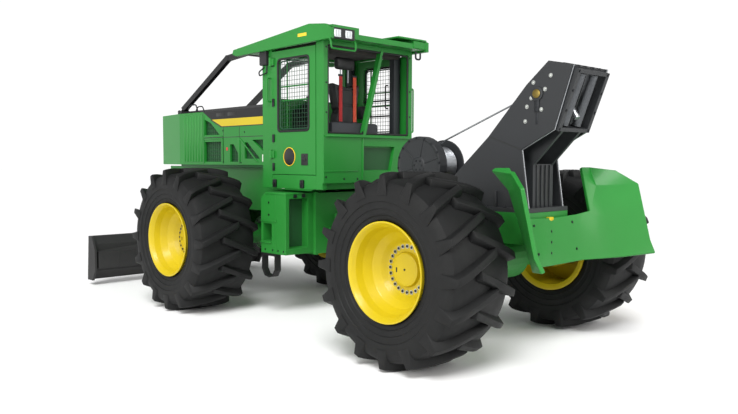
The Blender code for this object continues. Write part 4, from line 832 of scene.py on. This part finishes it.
# %% Rear wall and window
WALL_BOLTS = ((0.66, 3.00), (0.66, 2.62), (0.66, 2.30), (0.665, 1.60), (0.40, 1.575), (0.20, 1.575),
              (-0.66, 3.00), (-0.66, 2.60), (-0.66, 2.30), (0.12, 2.10), (-0.19, 2.98))
wall_bolts = [hex_bolt(at(1.80, y, z), (-1, 0, 0), 0.008) for y, z in WALL_BOLTS]
put("rear_wall_bolts", gather(wall_bolts), dark_steel)
rear_seal = loop_tube([at(1.812, y, z) for y, z in frame_points(-0.628, 2.082, 0.628, 3.018, 0.03)], 0.011)
put("rear_window_seal", rear_seal, seal_rubber)
wall_ledges = gather([slab(at(1.793, 0.19, 1.655), at(1.803, 0.69, 1.668), 0.003),
                      slab(at(1.790, 0.105, 1.56), at(1.812, 0.125, 2.04), 0.004),
                      slab(at(1.780, -0.68, 2.036), at(1.81, 0.68, 2.056), 0.004)])
put("rear_wall_ledges", wall_ledges, green)
# The recess in the rear wall is a flat dark green sheet: painted shade for the recess.
recess_shade_face = cut_plate([(-0.385, 1.925), (-0.33, 1.672), (0.098, 1.672), (0.098, 1.925)], "X",
                        REAR_AXLE + 1.838, REAR_AXLE + 1.842)
put("rear_recess_shade_panel", recess_shade_face, painted_shade_green)

# %% Inside the cab
lining = gather([slab(at(1.88, -0.62, 3.045), at(2.82, 0.62, 3.078), 0.01),
                 slab(at(1.90, -0.60, 2.985), at(2.05, 0.60, 3.05), 0.03)])
put("headliner", lining, headliner)
trim = gather([slab(at(1.935, -0.635, 1.60), at(2.020, -0.530, 3.04), 0.01),
               slab(at(1.935, 0.575, 1.60), at(2.015, 0.635, 3.04), 0.01),
               slab(at(2.74, -0.64, 2.10), at(2.835, -0.57, 3.04), 0.01),
               slab(at(2.20, -0.60, 1.56), at(2.72, -0.33, 2.06), 0.03),
               slab(at(2.20, 0.44, 1.56), at(2.66, 0.60, 2.02), 0.03),
               slab(at(1.868, -0.20, 1.58), at(2.04, 0.52, 2.205), 0.03)])
put("cab_trim", trim, moulded_grey)
LEVERS_U = (2.60, 2.52, 2.44)
levers = [bar(at(u + 0.02, -0.42, 2.04), at(u, -0.43, 2.20), 0.008, 8) for u in LEVERS_U]
levers += [bar(at(u, -0.43, 2.20), at(u - 0.002, -0.431, 2.245), 0.018, 12, 0.006, end_radius=0.014)
           for u in LEVERS_U]
levers += [slab(at(2.50, -0.64, 2.30), at(2.60, -0.54, 2.46), 0.01),
           bar(at(2.55, -0.60, 2.10), at(2.55, -0.60, 2.32), 0.012, 8)]
put("control_levers", gather(levers), moulded_black)
right_bars = [bar(at(2.05, -0.662, z), at(2.60, -0.662, z), 0.010, 8) for z in (2.33, 2.52)]
right_bars.append(pipe([(2.16, -0.655, 2.70), (2.16, -0.61, 2.70), (2.16, -0.61, 2.42),
                        (2.16, -0.655, 2.42)], 0.02, 0.009, 10))
put("right_window_handle", gather(right_bars), dark_wire, "right_door")

# %% [markdown]
# ## Seat
# A suspension seat has two foam cushions in black vinyl. The foam is crowned, its sides pull in
# between the corners, and it swells most in the middle. Each cushion is a rounded block cut finely
# and blown up by a cloth simulation with pressure. Two woven belts hang down its back.

# %% Seat vinyl and belts


def seat_vinyl():
    """Grained vinyl over foam: a fine pebble, with creases where it is stretched."""
    material, tree, shader, place = start_material("grained_vinyl")
    pebble = add_node(tree, "ShaderNodeTexVoronoi", inputs={"Vector": place, "Scale": 220.0})
    creases = add_node(tree, "ShaderNodeTexNoise", inputs={"Vector": place, "Scale": 12.0, "Detail": 5.0})
    tone = add_node(tree, "ShaderNodeMix", {"data_type": "RGBA"}, {
        0: creases.outputs["Fac"], 6: hex_colour("#101112"), 7: hex_colour("#1D1E20")})
    tree.links.new(tone.outputs[2], shader.inputs["Base Color"])
    height = add_node(tree, "ShaderNodeMath", {"operation": "ADD"},
                      {0: pebble.outputs["Distance"], 1: creases.outputs["Fac"]})
    bump = add_node(tree, "ShaderNodeBump",
                    inputs={"Strength": 0.4, "Distance": 0.001, "Height": height.outputs[0]})
    tree.links.new(bump.outputs[0], shader.inputs["Normal"])
    shader.inputs["Roughness"].default_value = 0.55
    return material


def webbing(name, colour, lit):
    """Woven polyester: ribs 3 mm apart across the belt, softly lit at the edges of its yarns."""
    material, tree, shader, place = start_material(name)
    ribs = add_node(tree, "ShaderNodeTexWave", {"wave_type": "BANDS", "bands_direction": "Z"},
                    {"Vector": place, "Scale": 100.0, "Distortion": 0.4})
    tone = add_node(tree, "ShaderNodeMix", {"data_type": "RGBA"}, {
        0: ribs.outputs["Fac"], 6: hex_colour(colour), 7: hex_colour(lit)})
    tree.links.new(tone.outputs[2], shader.inputs["Base Color"])
    bump = add_node(tree, "ShaderNodeBump",
                    inputs={"Strength": 0.5, "Distance": 0.001, "Height": ribs.outputs["Fac"]})
    tree.links.new(bump.outputs[0], shader.inputs["Normal"])
    shader.inputs["Roughness"].default_value = 0.8
    shader.inputs["Sheen Weight"].default_value = 0.3
    return material


vinyl = seat_vinyl()
print("seat:", vinyl.name)

# %% Cushions


def blown_cushion(name, low, high, stands_for):
    """A pad between two corners: shrunk, blown up by pressure and kept between them."""
    low, high = Vector(low), Vector(high)
    inset = Vector((0.012, 0.012, 0.012))
    bm = slab(low + inset, high - inset, 0.028)
    mesh = bpy.data.meshes.new(name)
    bm.to_mesh(mesh)
    bm.free()
    pad = bpy.data.objects.new(name, mesh)
    bpy.context.collection.objects.link(pad)
    remesh = pad.modifiers.new("fine_grid", "REMESH")
    remesh.mode = "VOXEL"
    remesh.voxel_size = 0.012
    bake_modifiers(pad)
    blow_up(pad)
    keep_between(pad, low, high)
    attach(pad, "front_frame")
    if stands_for:
        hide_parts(stands_for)
    pad.data.shade_smooth()
    pad.data.materials.append(vinyl)
    print(f"{name}: {len(pad.data.polygons)} faces")
    return pad


def bake_modifiers(piece):
    """Swap a piece's mesh for what its modifiers make of it."""
    graph = bpy.context.evaluated_depsgraph_get()
    made = bpy.data.meshes.new_from_object(piece.evaluated_get(graph))
    old = piece.data
    piece.modifiers.clear()
    piece.data = made
    bpy.data.meshes.remove(old)


def blow_up(pad):
    cloth = pad.modifiers.new("foam", "CLOTH")
    cloth.settings.use_pressure = True
    cloth.settings.uniform_pressure_force = 4.0
    cloth.settings.effector_weights.gravity = 0.0
    cloth.point_cache.frame_end = 16
    for step in range(1, 17):
        bpy.context.scene.frame_set(step)
    bake_modifiers(pad)
    bpy.context.scene.frame_set(1)


def keep_between(pad, low, high):
    """The cover can't pass the frame round it: hold every point between the corners."""
    for v in pad.data.vertices:
        v.co = [max(a, min(b, c)) for a, b, c in zip(low, high, v.co)]


def crease(pad, across, plane, push, depth, width=0.012):
    """Pull a sewn seam into both faces of a pad, along the plane at one height or offset."""
    core = sum(v.co[push] for v in pad.data.vertices) / len(pad.data.vertices)
    for v in pad.data.vertices:
        fade = math.exp(-((v.co[across] - plane) / width) ** 2)
        v.co[push] -= math.copysign(depth, v.co[push] - core) * fade


X, Y, Z = range(3)
cushion_low, cushion_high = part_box("seat_cushion")
back_low, back_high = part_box("seat_back")
SEAT_Y = (back_low.y + back_high.y) / 2
cushion = blown_cushion("seat_cushion_pad", cushion_low, cushion_high, "seat_cushion")
for shift in (-0.13, 0.13):
    crease(cushion, Y, SEAT_Y + shift, Z, 0.010)

# %% Back rest and head rest
REST_DEPTH = 0.125
REST_TOP = 2.70
back = blown_cushion("seat_back_pad", (back_low.x, back_low.y, back_low.z),
                     (back_low.x + REST_DEPTH, back_high.y, REST_TOP), "seat_back")
for plane in (2.20, 2.42, 2.60):
    crease(back, Z, plane, X, 0.008)
blown_cushion("head_rest_pad", (back_low.x + 0.005, SEAT_Y - 0.155, 2.815),
              (back_low.x + 0.100, SEAT_Y + 0.155, 2.98), "")
stalks = gather([bar((back_low.x + 0.055, y, 2.68), (back_low.x + 0.055, y, 2.84), 0.008, 10)
                 for y in (SEAT_Y - 0.06, SEAT_Y + 0.06)])
put("head_rest_stalks", stalks, bare_steel)

# %% Belts
BELT_SPREAD = 0.110
BELT_LOW, BELT_HIGH = 2.215, 2.755
BELTS = {"left_belt": (BELT_SPREAD, webbing("red_polyester_webbing", "#A8161C", "#C9282C")),
         "right_belt": (-BELT_SPREAD, webbing("orange_polyester_webbing", "#C8401F", "#E6593A"))}
for name, (shift, finish) in BELTS.items():
    belt = slab((back_low.x - 0.007, SEAT_Y + shift - 0.026, BELT_LOW),
                (back_low.x - 0.003, SEAT_Y + shift + 0.026, BELT_HIGH), 0.0012)
    put(name, belt, finish)
belt_hooks = gather([slab((back_low.x - 0.012, SEAT_Y + y - 0.034, z - 0.012),
                          (back_low.x + 0.004, SEAT_Y + y + 0.034, z + 0.012), 0.004)
                     for y in (-BELT_SPREAD, BELT_SPREAD) for z in (BELT_LOW, BELT_HIGH)])
put("belt_anchors", belt_hooks, dark_steel)

# %% [markdown]
# ## Hood
# The engine is boxed in by green side panels with screened windows, a black cover along the top and
# a tapered guard in front of the radiator. A yellow band runs along each side under the cover. The
# screens are perforated sheet too fine to see, so each is a dark green sheet behind its window with a
# few wires; that dark green is painted shade, for the engine bay seen through the holes. A dark green
# strip under each side panel is painted shade too. The corrugated panels in front really are
# corrugated: light catches each rib.

# %% Yellow band and seams
HOOD_FACE = 0.600
BAND_LOW, BAND_HIGH = 2.216, 2.309


def along(outline):
    """An outline of (place from the rear axle, other coordinate) pairs as cut_plate takes it."""
    return [(REAR_AXLE + u, other) for u, other in outline]


def side_plate(outline, thickness, sink=0.0005, round_edge=0.0):
    """A flat plate on the left side panel, doubled on the right."""
    return both(cut_plate(along(outline), "Y", HOOD_FACE - sink, HOOD_FACE + thickness, round_edge))


def box_outline(low_u, low_z, high_u, high_z):
    return [(low_u, low_z), (high_u, low_z), (high_u, high_z), (low_u, high_z)]


band = [(2.895, BAND_LOW), (3.925, BAND_LOW), (4.16, BAND_HIGH), (2.895, BAND_HIGH)]
put("side_bands", side_plate(band, 0.0015), yellow)
band_edge = [(2.895, 2.205), (3.945, 2.205), (4.20, 2.306), (4.165, BAND_HIGH), (3.925, BAND_LOW),
             (2.895, BAND_LOW)]
put("band_edges", side_plate(band_edge, 0.001), black_label)
seams = [box_outline(2.92, 2.070, 4.33, 2.078), box_outline(3.886, 1.735, 3.893, 2.205),
         box_outline(3.528, 1.735, 3.536, 2.205), box_outline(4.372, 1.725, 4.380, 2.40),
         box_outline(2.905, 1.735, 2.911, 2.205)]
put("hood_seams", gather([side_plate(seam, 0.0008) for seam in seams]), black_label)


def raised(outlines):
    """Folded strips that stand 8 mm proud of both side panels."""
    return gather([side_plate(outline, 0.008, round_edge=0.003) for outline in outlines])


lips = [box_outline(3.90, 2.080, 4.365, 2.094), box_outline(3.90, 2.050, 4.365, 2.064),
        box_outline(4.346, 1.74, 4.366, 2.37), box_outline(3.898, 1.74, 3.912, 2.065)]
put("hood_lips", raised(lips), green)
brace = [(3.50, 2.05), (3.53, 2.05), (3.16, 1.76), (3.13, 1.76)]
put("hood_braces", raised([brace, box_outline(3.515, 1.75, 3.553, 2.06)]), green)

# %% Screens in the hood windows
# The dark green strip under each side panel is painted shade for the gap under the panel.
put("hood_underside_shade_strips", both(slab(at(2.92, 0.545, 1.690), at(4.965, 0.590, 1.724), 0.004)), painted_shade_green)
# Each screen is a dark green sheet: painted shade for the engine bay behind it, with real wires in front.
screen_shade_sheet = cut_plate(along(box_outline(2.94, 1.745, 4.345, 2.30)), "Y", 0.556, 0.560)
hood_wires = screen(2.96, 1.75, 4.34, 2.30, lambda u, z, layer: at(u, 0.5625 + 0.003 * layer, z), 0.05,
                    0.0025)
put("hood_screens_with_shade", both(screen_shade_sheet), painted_shade_green)
put("hood_screen_wires", both(hood_wires), guard_wire)

# %% Corrugated panels
CORRUGATIONS = 7
ribs = []
for k in range(CORRUGATIONS):
    centre = 4.425 + 0.070 * k
    trapezium = [(centre - 0.026, HOOD_FACE - 0.001), (centre + 0.026, HOOD_FACE - 0.001),
                 (centre + 0.012, HOOD_FACE + 0.012), (centre - 0.012, HOOD_FACE + 0.012)]
    ribs.append(cut_plate(along(trapezium), "Z", 1.76, 2.385, 0.003))
put("corrugated_panels", both(gather(ribs)), green)

# %% Labels and bolts on the hood
labels = {"red": ([box_outline(3.79, 1.905, 3.83, 1.945), box_outline(2.985, 1.86, 3.035, 1.92)], red_label),
          "white": ([box_outline(3.00, 1.765, 3.05, 1.85)], white_label),
          "yellow": ([box_outline(2.93, 1.785, 2.985, 1.835)], yellow_label)}
for colour, (outlines, finish) in labels.items():
    stickers = gather([side_plate(outline, 0.0012) for outline in outlines])
    put(f"{colour}_labels", stickers, finish)
HOOD_BOLTS = ((4.37, 2.36), (4.37, 1.78), (3.90, 2.16), (3.42, 2.13), (3.0, 2.13), (3.90, 1.76),
              (3.50, 1.75), (2.94, 1.76))
hood_bolts = gather([hex_bolt(at(u, HOOD_FACE, z), (0, 1, 0), 0.007) for u, z in HOOD_BOLTS])
put("hood_bolts", both(hood_bolts), dark_steel)

# %% Top cover
cover_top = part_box("hood_top")[1].z
# The side vents are flat black slabs: painted shade for the openings.
vent_shades = gather([slab(at(u, 0.598, 2.345), at(u + 0.19, 0.6015, 2.388), 0.0015) for u in (3.60, 3.86)])
put("cover_side_vent_shades", both(vent_shades), black_label)
louvres = []
for k in range(9):
    u = 3.05 + 0.075 * k
    louvre = [(u, cover_top - 0.018), (u + 0.055, cover_top - 0.018), (u + 0.055, cover_top + 0.004),
              (u + 0.045, cover_top + 0.006)]
    louvres.append(cut_plate(along(louvre), "Y", -0.34, 0.34, 0.002))
put("cover_louvres", gather(louvres), moulded_black)


def stack_ring(height, radius, round_edge):
    """A round of the exhaust, from just under the cover up to a height over it."""
    foot = at(3.35, -0.40, cover_top - 0.02)
    return bar(foot, foot + Vector((0, 0, height + 0.02)), radius, 24, round_edge)


stack = gather([stack_ring(0.16, 0.055, 0.006), stack_ring(0.012, 0.075, 0.004)])
put("exhaust_stub", stack, dark_steel)
hood_handles = gather([
    pipe([(4.62, 0.53, 2.452), (4.66, 0.53, 2.535), (4.80, 0.53, 2.535), (4.86, 0.53, 2.475)], 0.03, 0.009),
    pipe([(4.40, 0.565, 2.44), (4.44, 0.565, 2.50), (4.55, 0.565, 2.50), (4.60, 0.565, 2.45)], 0.03, 0.008)])
put("hood_handles", both(hood_handles), dark_steel)
foot_bolts = gather([hex_bolt(at(u, y, 2.470), (0, 0, 1), 0.010) for u in (4.995, 5.075)
                     for y in (0.455, 0.545)])
put("riser_foot_bolts", both(foot_bolts), dark_steel)

# %% Radiator guard
guard_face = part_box("front_guard")[1].x
guard_bars = gather([bar((guard_face - 0.018, -0.40, z), (guard_face - 0.018, 0.40, z), 0.008, 10)
                     for z in (1.90, 2.03, 2.16, 2.29)])
put("radiator_guard_bars", guard_bars, dark_steel)
put("radiator_core", slab((guard_face - 0.090, -0.42, 1.76), (guard_face - 0.082, 0.42, 2.37)), dark_wire)
headlamp = slab((guard_face - 0.020, 0.30, 2.33), (guard_face - 0.001, 0.42, 2.39), 0.006)
put("front_lamp_lenses", both(headlamp), lens)

# %% [markdown]
# ## Boxes and steps under the doors
# The battery box and the fuel tank carry lids, clips and folded lips, and the cab stands over them
# on rubber mounts in steel brackets. The lips are thin strips, so they are slabs with rounded edges.

# %% Side boxes
BOX_FACE = 0.880
box_lips = gather([slab(at(2.235, 0.62, 1.395), at(2.60, BOX_FACE + 0.006, 1.418), 0.004),
                   slab(at(2.40, BOX_FACE - 0.002, 1.082), at(2.70, BOX_FACE + 0.010, 1.096), 0.003),
                   slab(at(2.415, BOX_FACE - 0.002, 0.74), at(2.425, BOX_FACE + 0.004, 1.38), 0.002),
                   slab(at(2.50, BOX_FACE - 0.001, 0.835), at(2.70, BOX_FACE + 0.012, 0.852), 0.003)])
put("box_edges", both(box_lips), green)
box_clips = [slab(at(2.232, y, 1.36), at(2.242, y + 0.05, 1.40), 0.003) for y in (0.60, 0.72)]
box_clips += [hex_bolt(at(2.55, BOX_FACE, z), (0, 1, 0), 0.009) for z in (1.30, 1.16)]
box_clips += [hex_bolt(at(u, BOX_FACE, 0.76), (0, 1, 0), 0.008) for u in (2.28, 2.38, 2.48, 2.62)]
put("box_fasteners", both(gather(box_clips)), dark_steel)
# A flat dark green sheet in each box's recess: painted shade for the recess.
put("box_recess_shade_panels", both(slab(at(2.338, 0.57, 0.80), at(2.342, 0.82, 1.34))), painted_shade_green)
put("fuel_cap", bar(at(2.34, -0.70, 1.41), at(2.34, -0.70, 1.450), 0.048, 24, 0.006), moulded_black)

# %% Cab mounts and skirts
mounts = []
for u in (2.66, 2.16):
    mounts.append(slab(at(u - 0.03, 0.698, 1.47), at(u + 0.03, 0.722, 1.56), 0.006))
    mounts.append(bar(at(u, 0.69, 1.515), at(u, 0.735, 1.515), 0.018, 14, 0.004))
put("cab_mount_brackets", both(gather(mounts)), dark_steel)
skirt = along([(1.84, 1.535), (2.70, 1.535), (2.70, 1.44), (2.04, 1.44)])
put("cab_skirts", both(cut_plate(skirt, "Y", 0.672, 0.690, 0.004)), green)
put("sill_labels", both(slab(at(2.50, 0.690, 1.455), at(2.55, 0.6915, 1.505))), white_label)

# %% [markdown]
# ## Winch
# The winch is a big cast gear case beside a drum. The case is bolted round its rim and webbed, and
# steel rope lies on the drum in close turns. The turns are separate rings a rope's width apart,
# which at this size look just as a helix does, and they turn with the drum.

# %% Winch case
DRUM_LOW, DRUM_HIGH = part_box("winch_drum")
WINCH_CENTRE = middle("winch_drum")
CASE_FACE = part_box("winch_housing")[1].y - 0.010


def on_winch(bm):
    bmesh.ops.translate(bm, vec=(WINCH_CENTRE.x, 0, WINCH_CENTRE.z), verts=bm.verts)
    return bm


COVER_STEPS = ((-0.002, 0.0), (0.014, 0.0), (0.014, 0.075), (0.004, 0.090), (0.004, 0.265),
               (0.009, 0.272), (0.009, 0.296), (-0.002, 0.299))
cover_section = [(CASE_FACE + out, radius) for out, radius in COVER_STEPS]
case_cover = turned(rounded_outline(cover_section, 0.003), 64)
webs = ring_of(slab((0.085, CASE_FACE, -0.007), (0.268, CASE_FACE + 0.010, 0.007), 0.003), 6, 0.3)
put("winch_case_cover", on_winch(gather([case_cover, webs])), grey, "rear_frame")
case_bolts = gather([ring_of(hex_bolt((0.284, CASE_FACE + 0.008, 0), (0, 1, 0), 0.010), 16, 0.1),
                     ring_of(hex_bolt((0.052, CASE_FACE + 0.013, 0), (0, 1, 0), 0.008), 6)])
put("winch_case_bolts", on_winch(case_bolts), dark_steel, "rear_frame")

# %% Rope on the drum
ROPE = 0.018
ROPE_LIES_AT = 0.190
rope_wraps = []
turns = int((DRUM_HIGH.y - DRUM_LOW.y - 0.150) / ROPE)
first_turn = (DRUM_LOW.y + DRUM_HIGH.y) / 2 - turns * ROPE / 2
for k in range(turns):
    centre = first_turn + ROPE * (k + 0.5)
    half_round = [(centre + ROPE / 2 * math.cos(a), ROPE_LIES_AT + ROPE / 2 * math.sin(a))
                  for a in [math.pi * step / 6 for step in range(7)]]
    under = [(centre - ROPE / 2, ROPE_LIES_AT - 0.010), (centre + ROPE / 2, ROPE_LIES_AT - 0.010)]
    rope_wraps.append(turned(half_round + under, 64))
put("winch_rope_turns", on_winch(gather(rope_wraps)), bare_steel, "winch_drum")
flange_bolts = ring_of(hex_bolt((0.235, DRUM_LOW.y + 0.0495, 0), (0, -1, 0), 0.009), 12)
put("drum_flange_bolts", on_winch(flange_bolts), dark_steel, "winch_drum")
winch_hoses = gather([
    pipe([(0.98, 0.16, 1.50), (1.16, 0.18, 1.46), (1.20, 0.20, 1.38), (1.20, 0.22, 1.315)], 0.05, 0.013),
    pipe([(0.98, 0.12, 1.46), (1.12, 0.12, 1.44), (1.15, 0.12, 1.36), (1.15, 0.12, 1.315)], 0.05, 0.013)])
put("winch_hoses", winch_hoses, hose_rubber, "rear_frame")

# %% [markdown]
# ## Arch and fairlead
# The arch is two heavy bent plates. Its sheave turns on a big plated pin held by a keeper plate, and
# bolts tie the plates to spacers inside. The roller frame leans behind it. Edges that ropes rub are
# polished bright, so a thin round of steel follows the rear edges.

# %% Sheave pin and arch bolts
ARCH_FACE = 0.300
PIN = (-0.62, 2.37)


def on_arch(u, z, out=0.0):
    return at(u, ARCH_FACE + out, z)


collar = bar(on_arch(*PIN, -0.004), on_arch(*PIN, 0.012), 0.062, 28, 0.003)
put("sheave_pin_collars", both(collar), grey, "rear_frame")
pin_head = bar(on_arch(*PIN), on_arch(*PIN, 0.020), 0.040, 28, 0.004)
put("sheave_pins", both(pin_head), brass_plate, "rear_frame")
keeper = gather([slab(on_arch(-0.645, 2.21), on_arch(-0.595, 2.33, 0.010), 0.004),
                 slab(on_arch(-0.632, 2.10), on_arch(-0.608, 2.20, 0.002), 0.001)])
put("pin_keepers", both(keeper), dark_steel, "rear_frame")
ARCH_BOLTS = ((-0.56, 2.335), (-0.70, 2.405), (-0.665, 2.23), (-0.515, 2.26), (-0.50, 2.13),
              (-0.755, 2.52), (-0.58, 2.47))
arch_bolts = gather([hex_bolt(on_arch(u, z), (0, 1, 0), 0.013) for u, z in ARCH_BOLTS])
put("arch_bolts", both(arch_bolts), zinc, "rear_frame")

# %% Bends, edges and feet of the arch
LEAN = math.radians(20.8)


def leaned(x, y, z):
    """A point of the roller frame, measured from its foot and leaning back with it."""
    turn = Matrix.Rotation(-LEAN, 3, "Y")
    return turn @ Vector((x, y, z)) + at(-0.745, 0, 2.06)


# A thin dark strip along each plate's bend: painted shade in the crease of the fold.
bend = cut_plate(along([(-0.46, 1.876), (-0.10, 2.004), (-0.102, 2.012), (-0.462, 1.884)]), "Y",
                 ARCH_FACE - 0.0005, ARCH_FACE + 0.0015)
put("arch_bend_shade_lines", both(bend), dark_wire, "rear_frame")
REAR_EDGES = (((-0.969, 2.597), (-0.792, 2.052), (-0.462, 1.878)), ((-0.462, 1.875), (-0.540, 1.345)))
edge_rounds = [tube([at(u, 0.282, z) for u, z in edge], 0.006, 6) for edge in REAR_EDGES]
put("rubbed_edges", both(gather(edge_rounds)), bare_steel, "rear_frame")
top_lugs = []
for y in (-0.18, -0.06, 0.06, 0.18):
    corner = leaned(-0.012, y - 0.02, 0.574)
    top_lugs.append(slab(corner, corner + Vector((0.03, 0.04, 0.012)), 0.004))
put("fairlead_top_lugs", gather(top_lugs), dark_steel, "rear_frame")
core_ribs = gather([slab(at(-0.512, y - 0.010, 1.33), at(-0.498, y + 0.010, 1.74), 0.004)
                    for y in (-0.105, -0.035, 0.035, 0.105)])
put("core_ribs", core_ribs, grey, "rear_frame")
# The slots in the core are flat black slabs: painted shade for the openings.
core_slot_shades = gather([slab(at(-0.5015, y - 0.014, 1.42), at(-0.4995, y + 0.014, 1.70), 0.0005)
                     for y in (-0.07, 0.0, 0.07)])
put("core_slot_shades", core_slot_shades, black_label, "rear_frame")
foot_bolts = gather([hex_bolt(at(u, 0.317, 1.351), (0, 0, 1), 0.012)
                     for u in (-0.50, -0.30, -0.10, 0.10, 0.30, 0.42)])
put("arch_foot_bolts", both(foot_bolts), dark_steel, "rear_frame")
gussets = gather([cut_plate(along(box_outline(u - 0.008, 1.345, u + 0.008, 1.50)), "Y", 0.296, 0.330, 0.003)
                  for u in (-0.40, -0.20, 0.0, 0.20)])
put("arch_foot_gussets", both(gussets), grey, "rear_frame")

# %% Fairlead rollers
roller_steel = steel("rubbed_cast_steel", "#4A4C4F", "#6A6D70", 0.35, 50.0)
for side, sign in LEFT_AND_RIGHT:
    low = leaned(0, sign * 0.105, 0.043)
    high = leaned(0, sign * 0.105, 0.517)
    axis = (high - low).normalized()
    collars = [bar(low + axis * s, low + axis * (s + 0.012), 0.050, 40, 0.003) for s in (0.0, 0.462)]
    put(f"{side}_fairlead_roller", gather([bar(low, high, 0.0485, 40, 0.004)] + collars), roller_steel,
        f"fairlead_roller_{side}", stands_for=[f"fairlead_roller_{side}"])
backward = leaned(-1, 0, 0) - leaned(0, 0, 0)
frame_bolts = gather([hex_bolt(leaned(-0.070, y, z), backward, 0.010)
                      for y in (-0.24, 0.24) for z in (0.02, 0.19, 0.37, 0.54)])
put("fairlead_bolts", frame_bolts, dark_steel, "rear_frame")

# %% [markdown]
# ## Sheet pieces with folds
# The log guides are folded from one sheet. The frame holds them as loose triangles, whose flats
# would show as facets, so a copy stands for them: its triangles joined, its nearly flat edges
# smoothed, and its true corners rounded.

# %% Log guides


def refined(node, round_edge):
    """A copy of one of the frame's nodes with its triangles joined and its corners rounded."""
    bm = bmesh.new()
    bm.from_mesh(frame["nodes"][node].data)
    bmesh.ops.remove_doubles(bm, verts=bm.verts, dist=1e-4)
    bmesh.ops.dissolve_limit(bm, angle_limit=math.radians(0.5), verts=bm.verts, edges=bm.edges)
    return soften(bm, round_edge, 3, 40)


guide_mesh = refined("butt_plate", 0.007)
guide_tree = BVHTree.FromBMesh(guide_mesh)


def rear_face(y, z):
    """Where a line from behind meets the log guides."""
    return guide_tree.ray_cast(Vector((-9, y, z)), Vector((1, 0, 0)))[0]


guides = put("log_guides", guide_mesh, green, "rear_frame", stands_for=["butt_plate"], smooth=42)
guides.modifiers.new("even_shading", "WEIGHTED_NORMAL").keep_sharp = True
guide_bolts = [hex_bolt(rear_face(0.0, z), (-1, 0, 0), 0.009) for z in (0.93, 1.03, 1.13)]
guide_bolts += [hex_bolt(rear_face(y, z), (-1, 0, 0), 0.010) for y in (-0.32, 0.32) for z in (0.95, 1.20)]
put("log_guide_bolts", gather(guide_bolts), dark_steel, "rear_frame")
post_top = rear_face(0.0, 1.24)
bracket = slab(post_top + Vector((-0.004, -0.035, -0.012)), post_top + Vector((0.034, 0.035, 0.022)), 0.004)
put("log_guide_bracket", bracket, yellow, "rear_frame")

# %% [markdown]
# ## Blade, rods and axles
# The stacking blade is the hardest used piece: its cutting edge is bare bolted steel, and its paint is
# a duller, darker charcoal than the other grey parts. That extra darkness is painted shade, for the
# blade's back, which lies in shade. Cylinder rods are chromed, and the finish is changed on the
# frame's own nodes, since their shape is right.

# %% Blade and rods
# A darker copy of the dark grey enamel: the extra darkness is painted shade for the blade's back.
shaded_charcoal = enamel("shaded_charcoal_enamel", "#1D1E20", "#292A2D", "#504D47", 0.5, 0.0)
for name, node in frame["nodes"].items():
    if "_rod_" in name:
        node.data.materials[0] = chrome
frame["nodes"]["blade"].data.materials[0] = shaded_charcoal
blade_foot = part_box("blade")[0].z
blade_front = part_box("blade")[1].x
edge_section = [(blade_front - 0.018, blade_foot + 0.001), (blade_front - 0.001, blade_foot + 0.001),
                (blade_front - 0.050, blade_foot + 0.120), (blade_front - 0.066, blade_foot + 0.120)]
put("blade_cutting_edge", cut_plate(edge_section, "Y", -1.445, 1.445, 0.002), bare_steel, "blade")
edge_bolts = [hex_bolt((blade_front - 0.040, -1.36 + 0.17 * k, blade_foot + 0.085), (0.92, 0, 0.38), 0.012)
              for k in range(17)]
put("blade_edge_bolts", gather(edge_bolts), dark_steel, "blade")
back_ribs = [slab(at(5.864, y - 0.009, 0.25), at(5.874, y + 0.009, 0.47), 0.003)
             for y in (-1.10, -0.80, -0.30, 0.30, 0.80, 1.10)]
put("blade_back_ribs", gather(back_ribs), shaded_charcoal, "blade")

# %% Hoses and axle bolts
hoses = [pipe([(4.50, y, 1.46), (4.95, y, 1.50), (5.05, y, 1.56), (5.18, y * 1.1, 1.56)], 0.08, 0.011)
         for y in (0.10, 0.14, -0.10, -0.14)]
put("blade_cylinder_hoses", gather(hoses), hose_rubber)
AXLE_FLANGE = 0.2105
for axle, body in (("front", "front_axle"), ("rear", "rear_frame")):
    centre = middle(f"tyre_{axle}_left")
    for side, sign in (("right", -1), ("left", 1)):
        flange = ring_of(hex_bolt((0.195, sign * AXLE_FLANGE, 0), (0, sign, 0), 0.009), 14)
        bmesh.ops.translate(flange, vec=(centre.x, 0, centre.z), verts=flange.verts)
        put(f"{axle}_axle_bolts_{side}", flange, dark_steel, body)
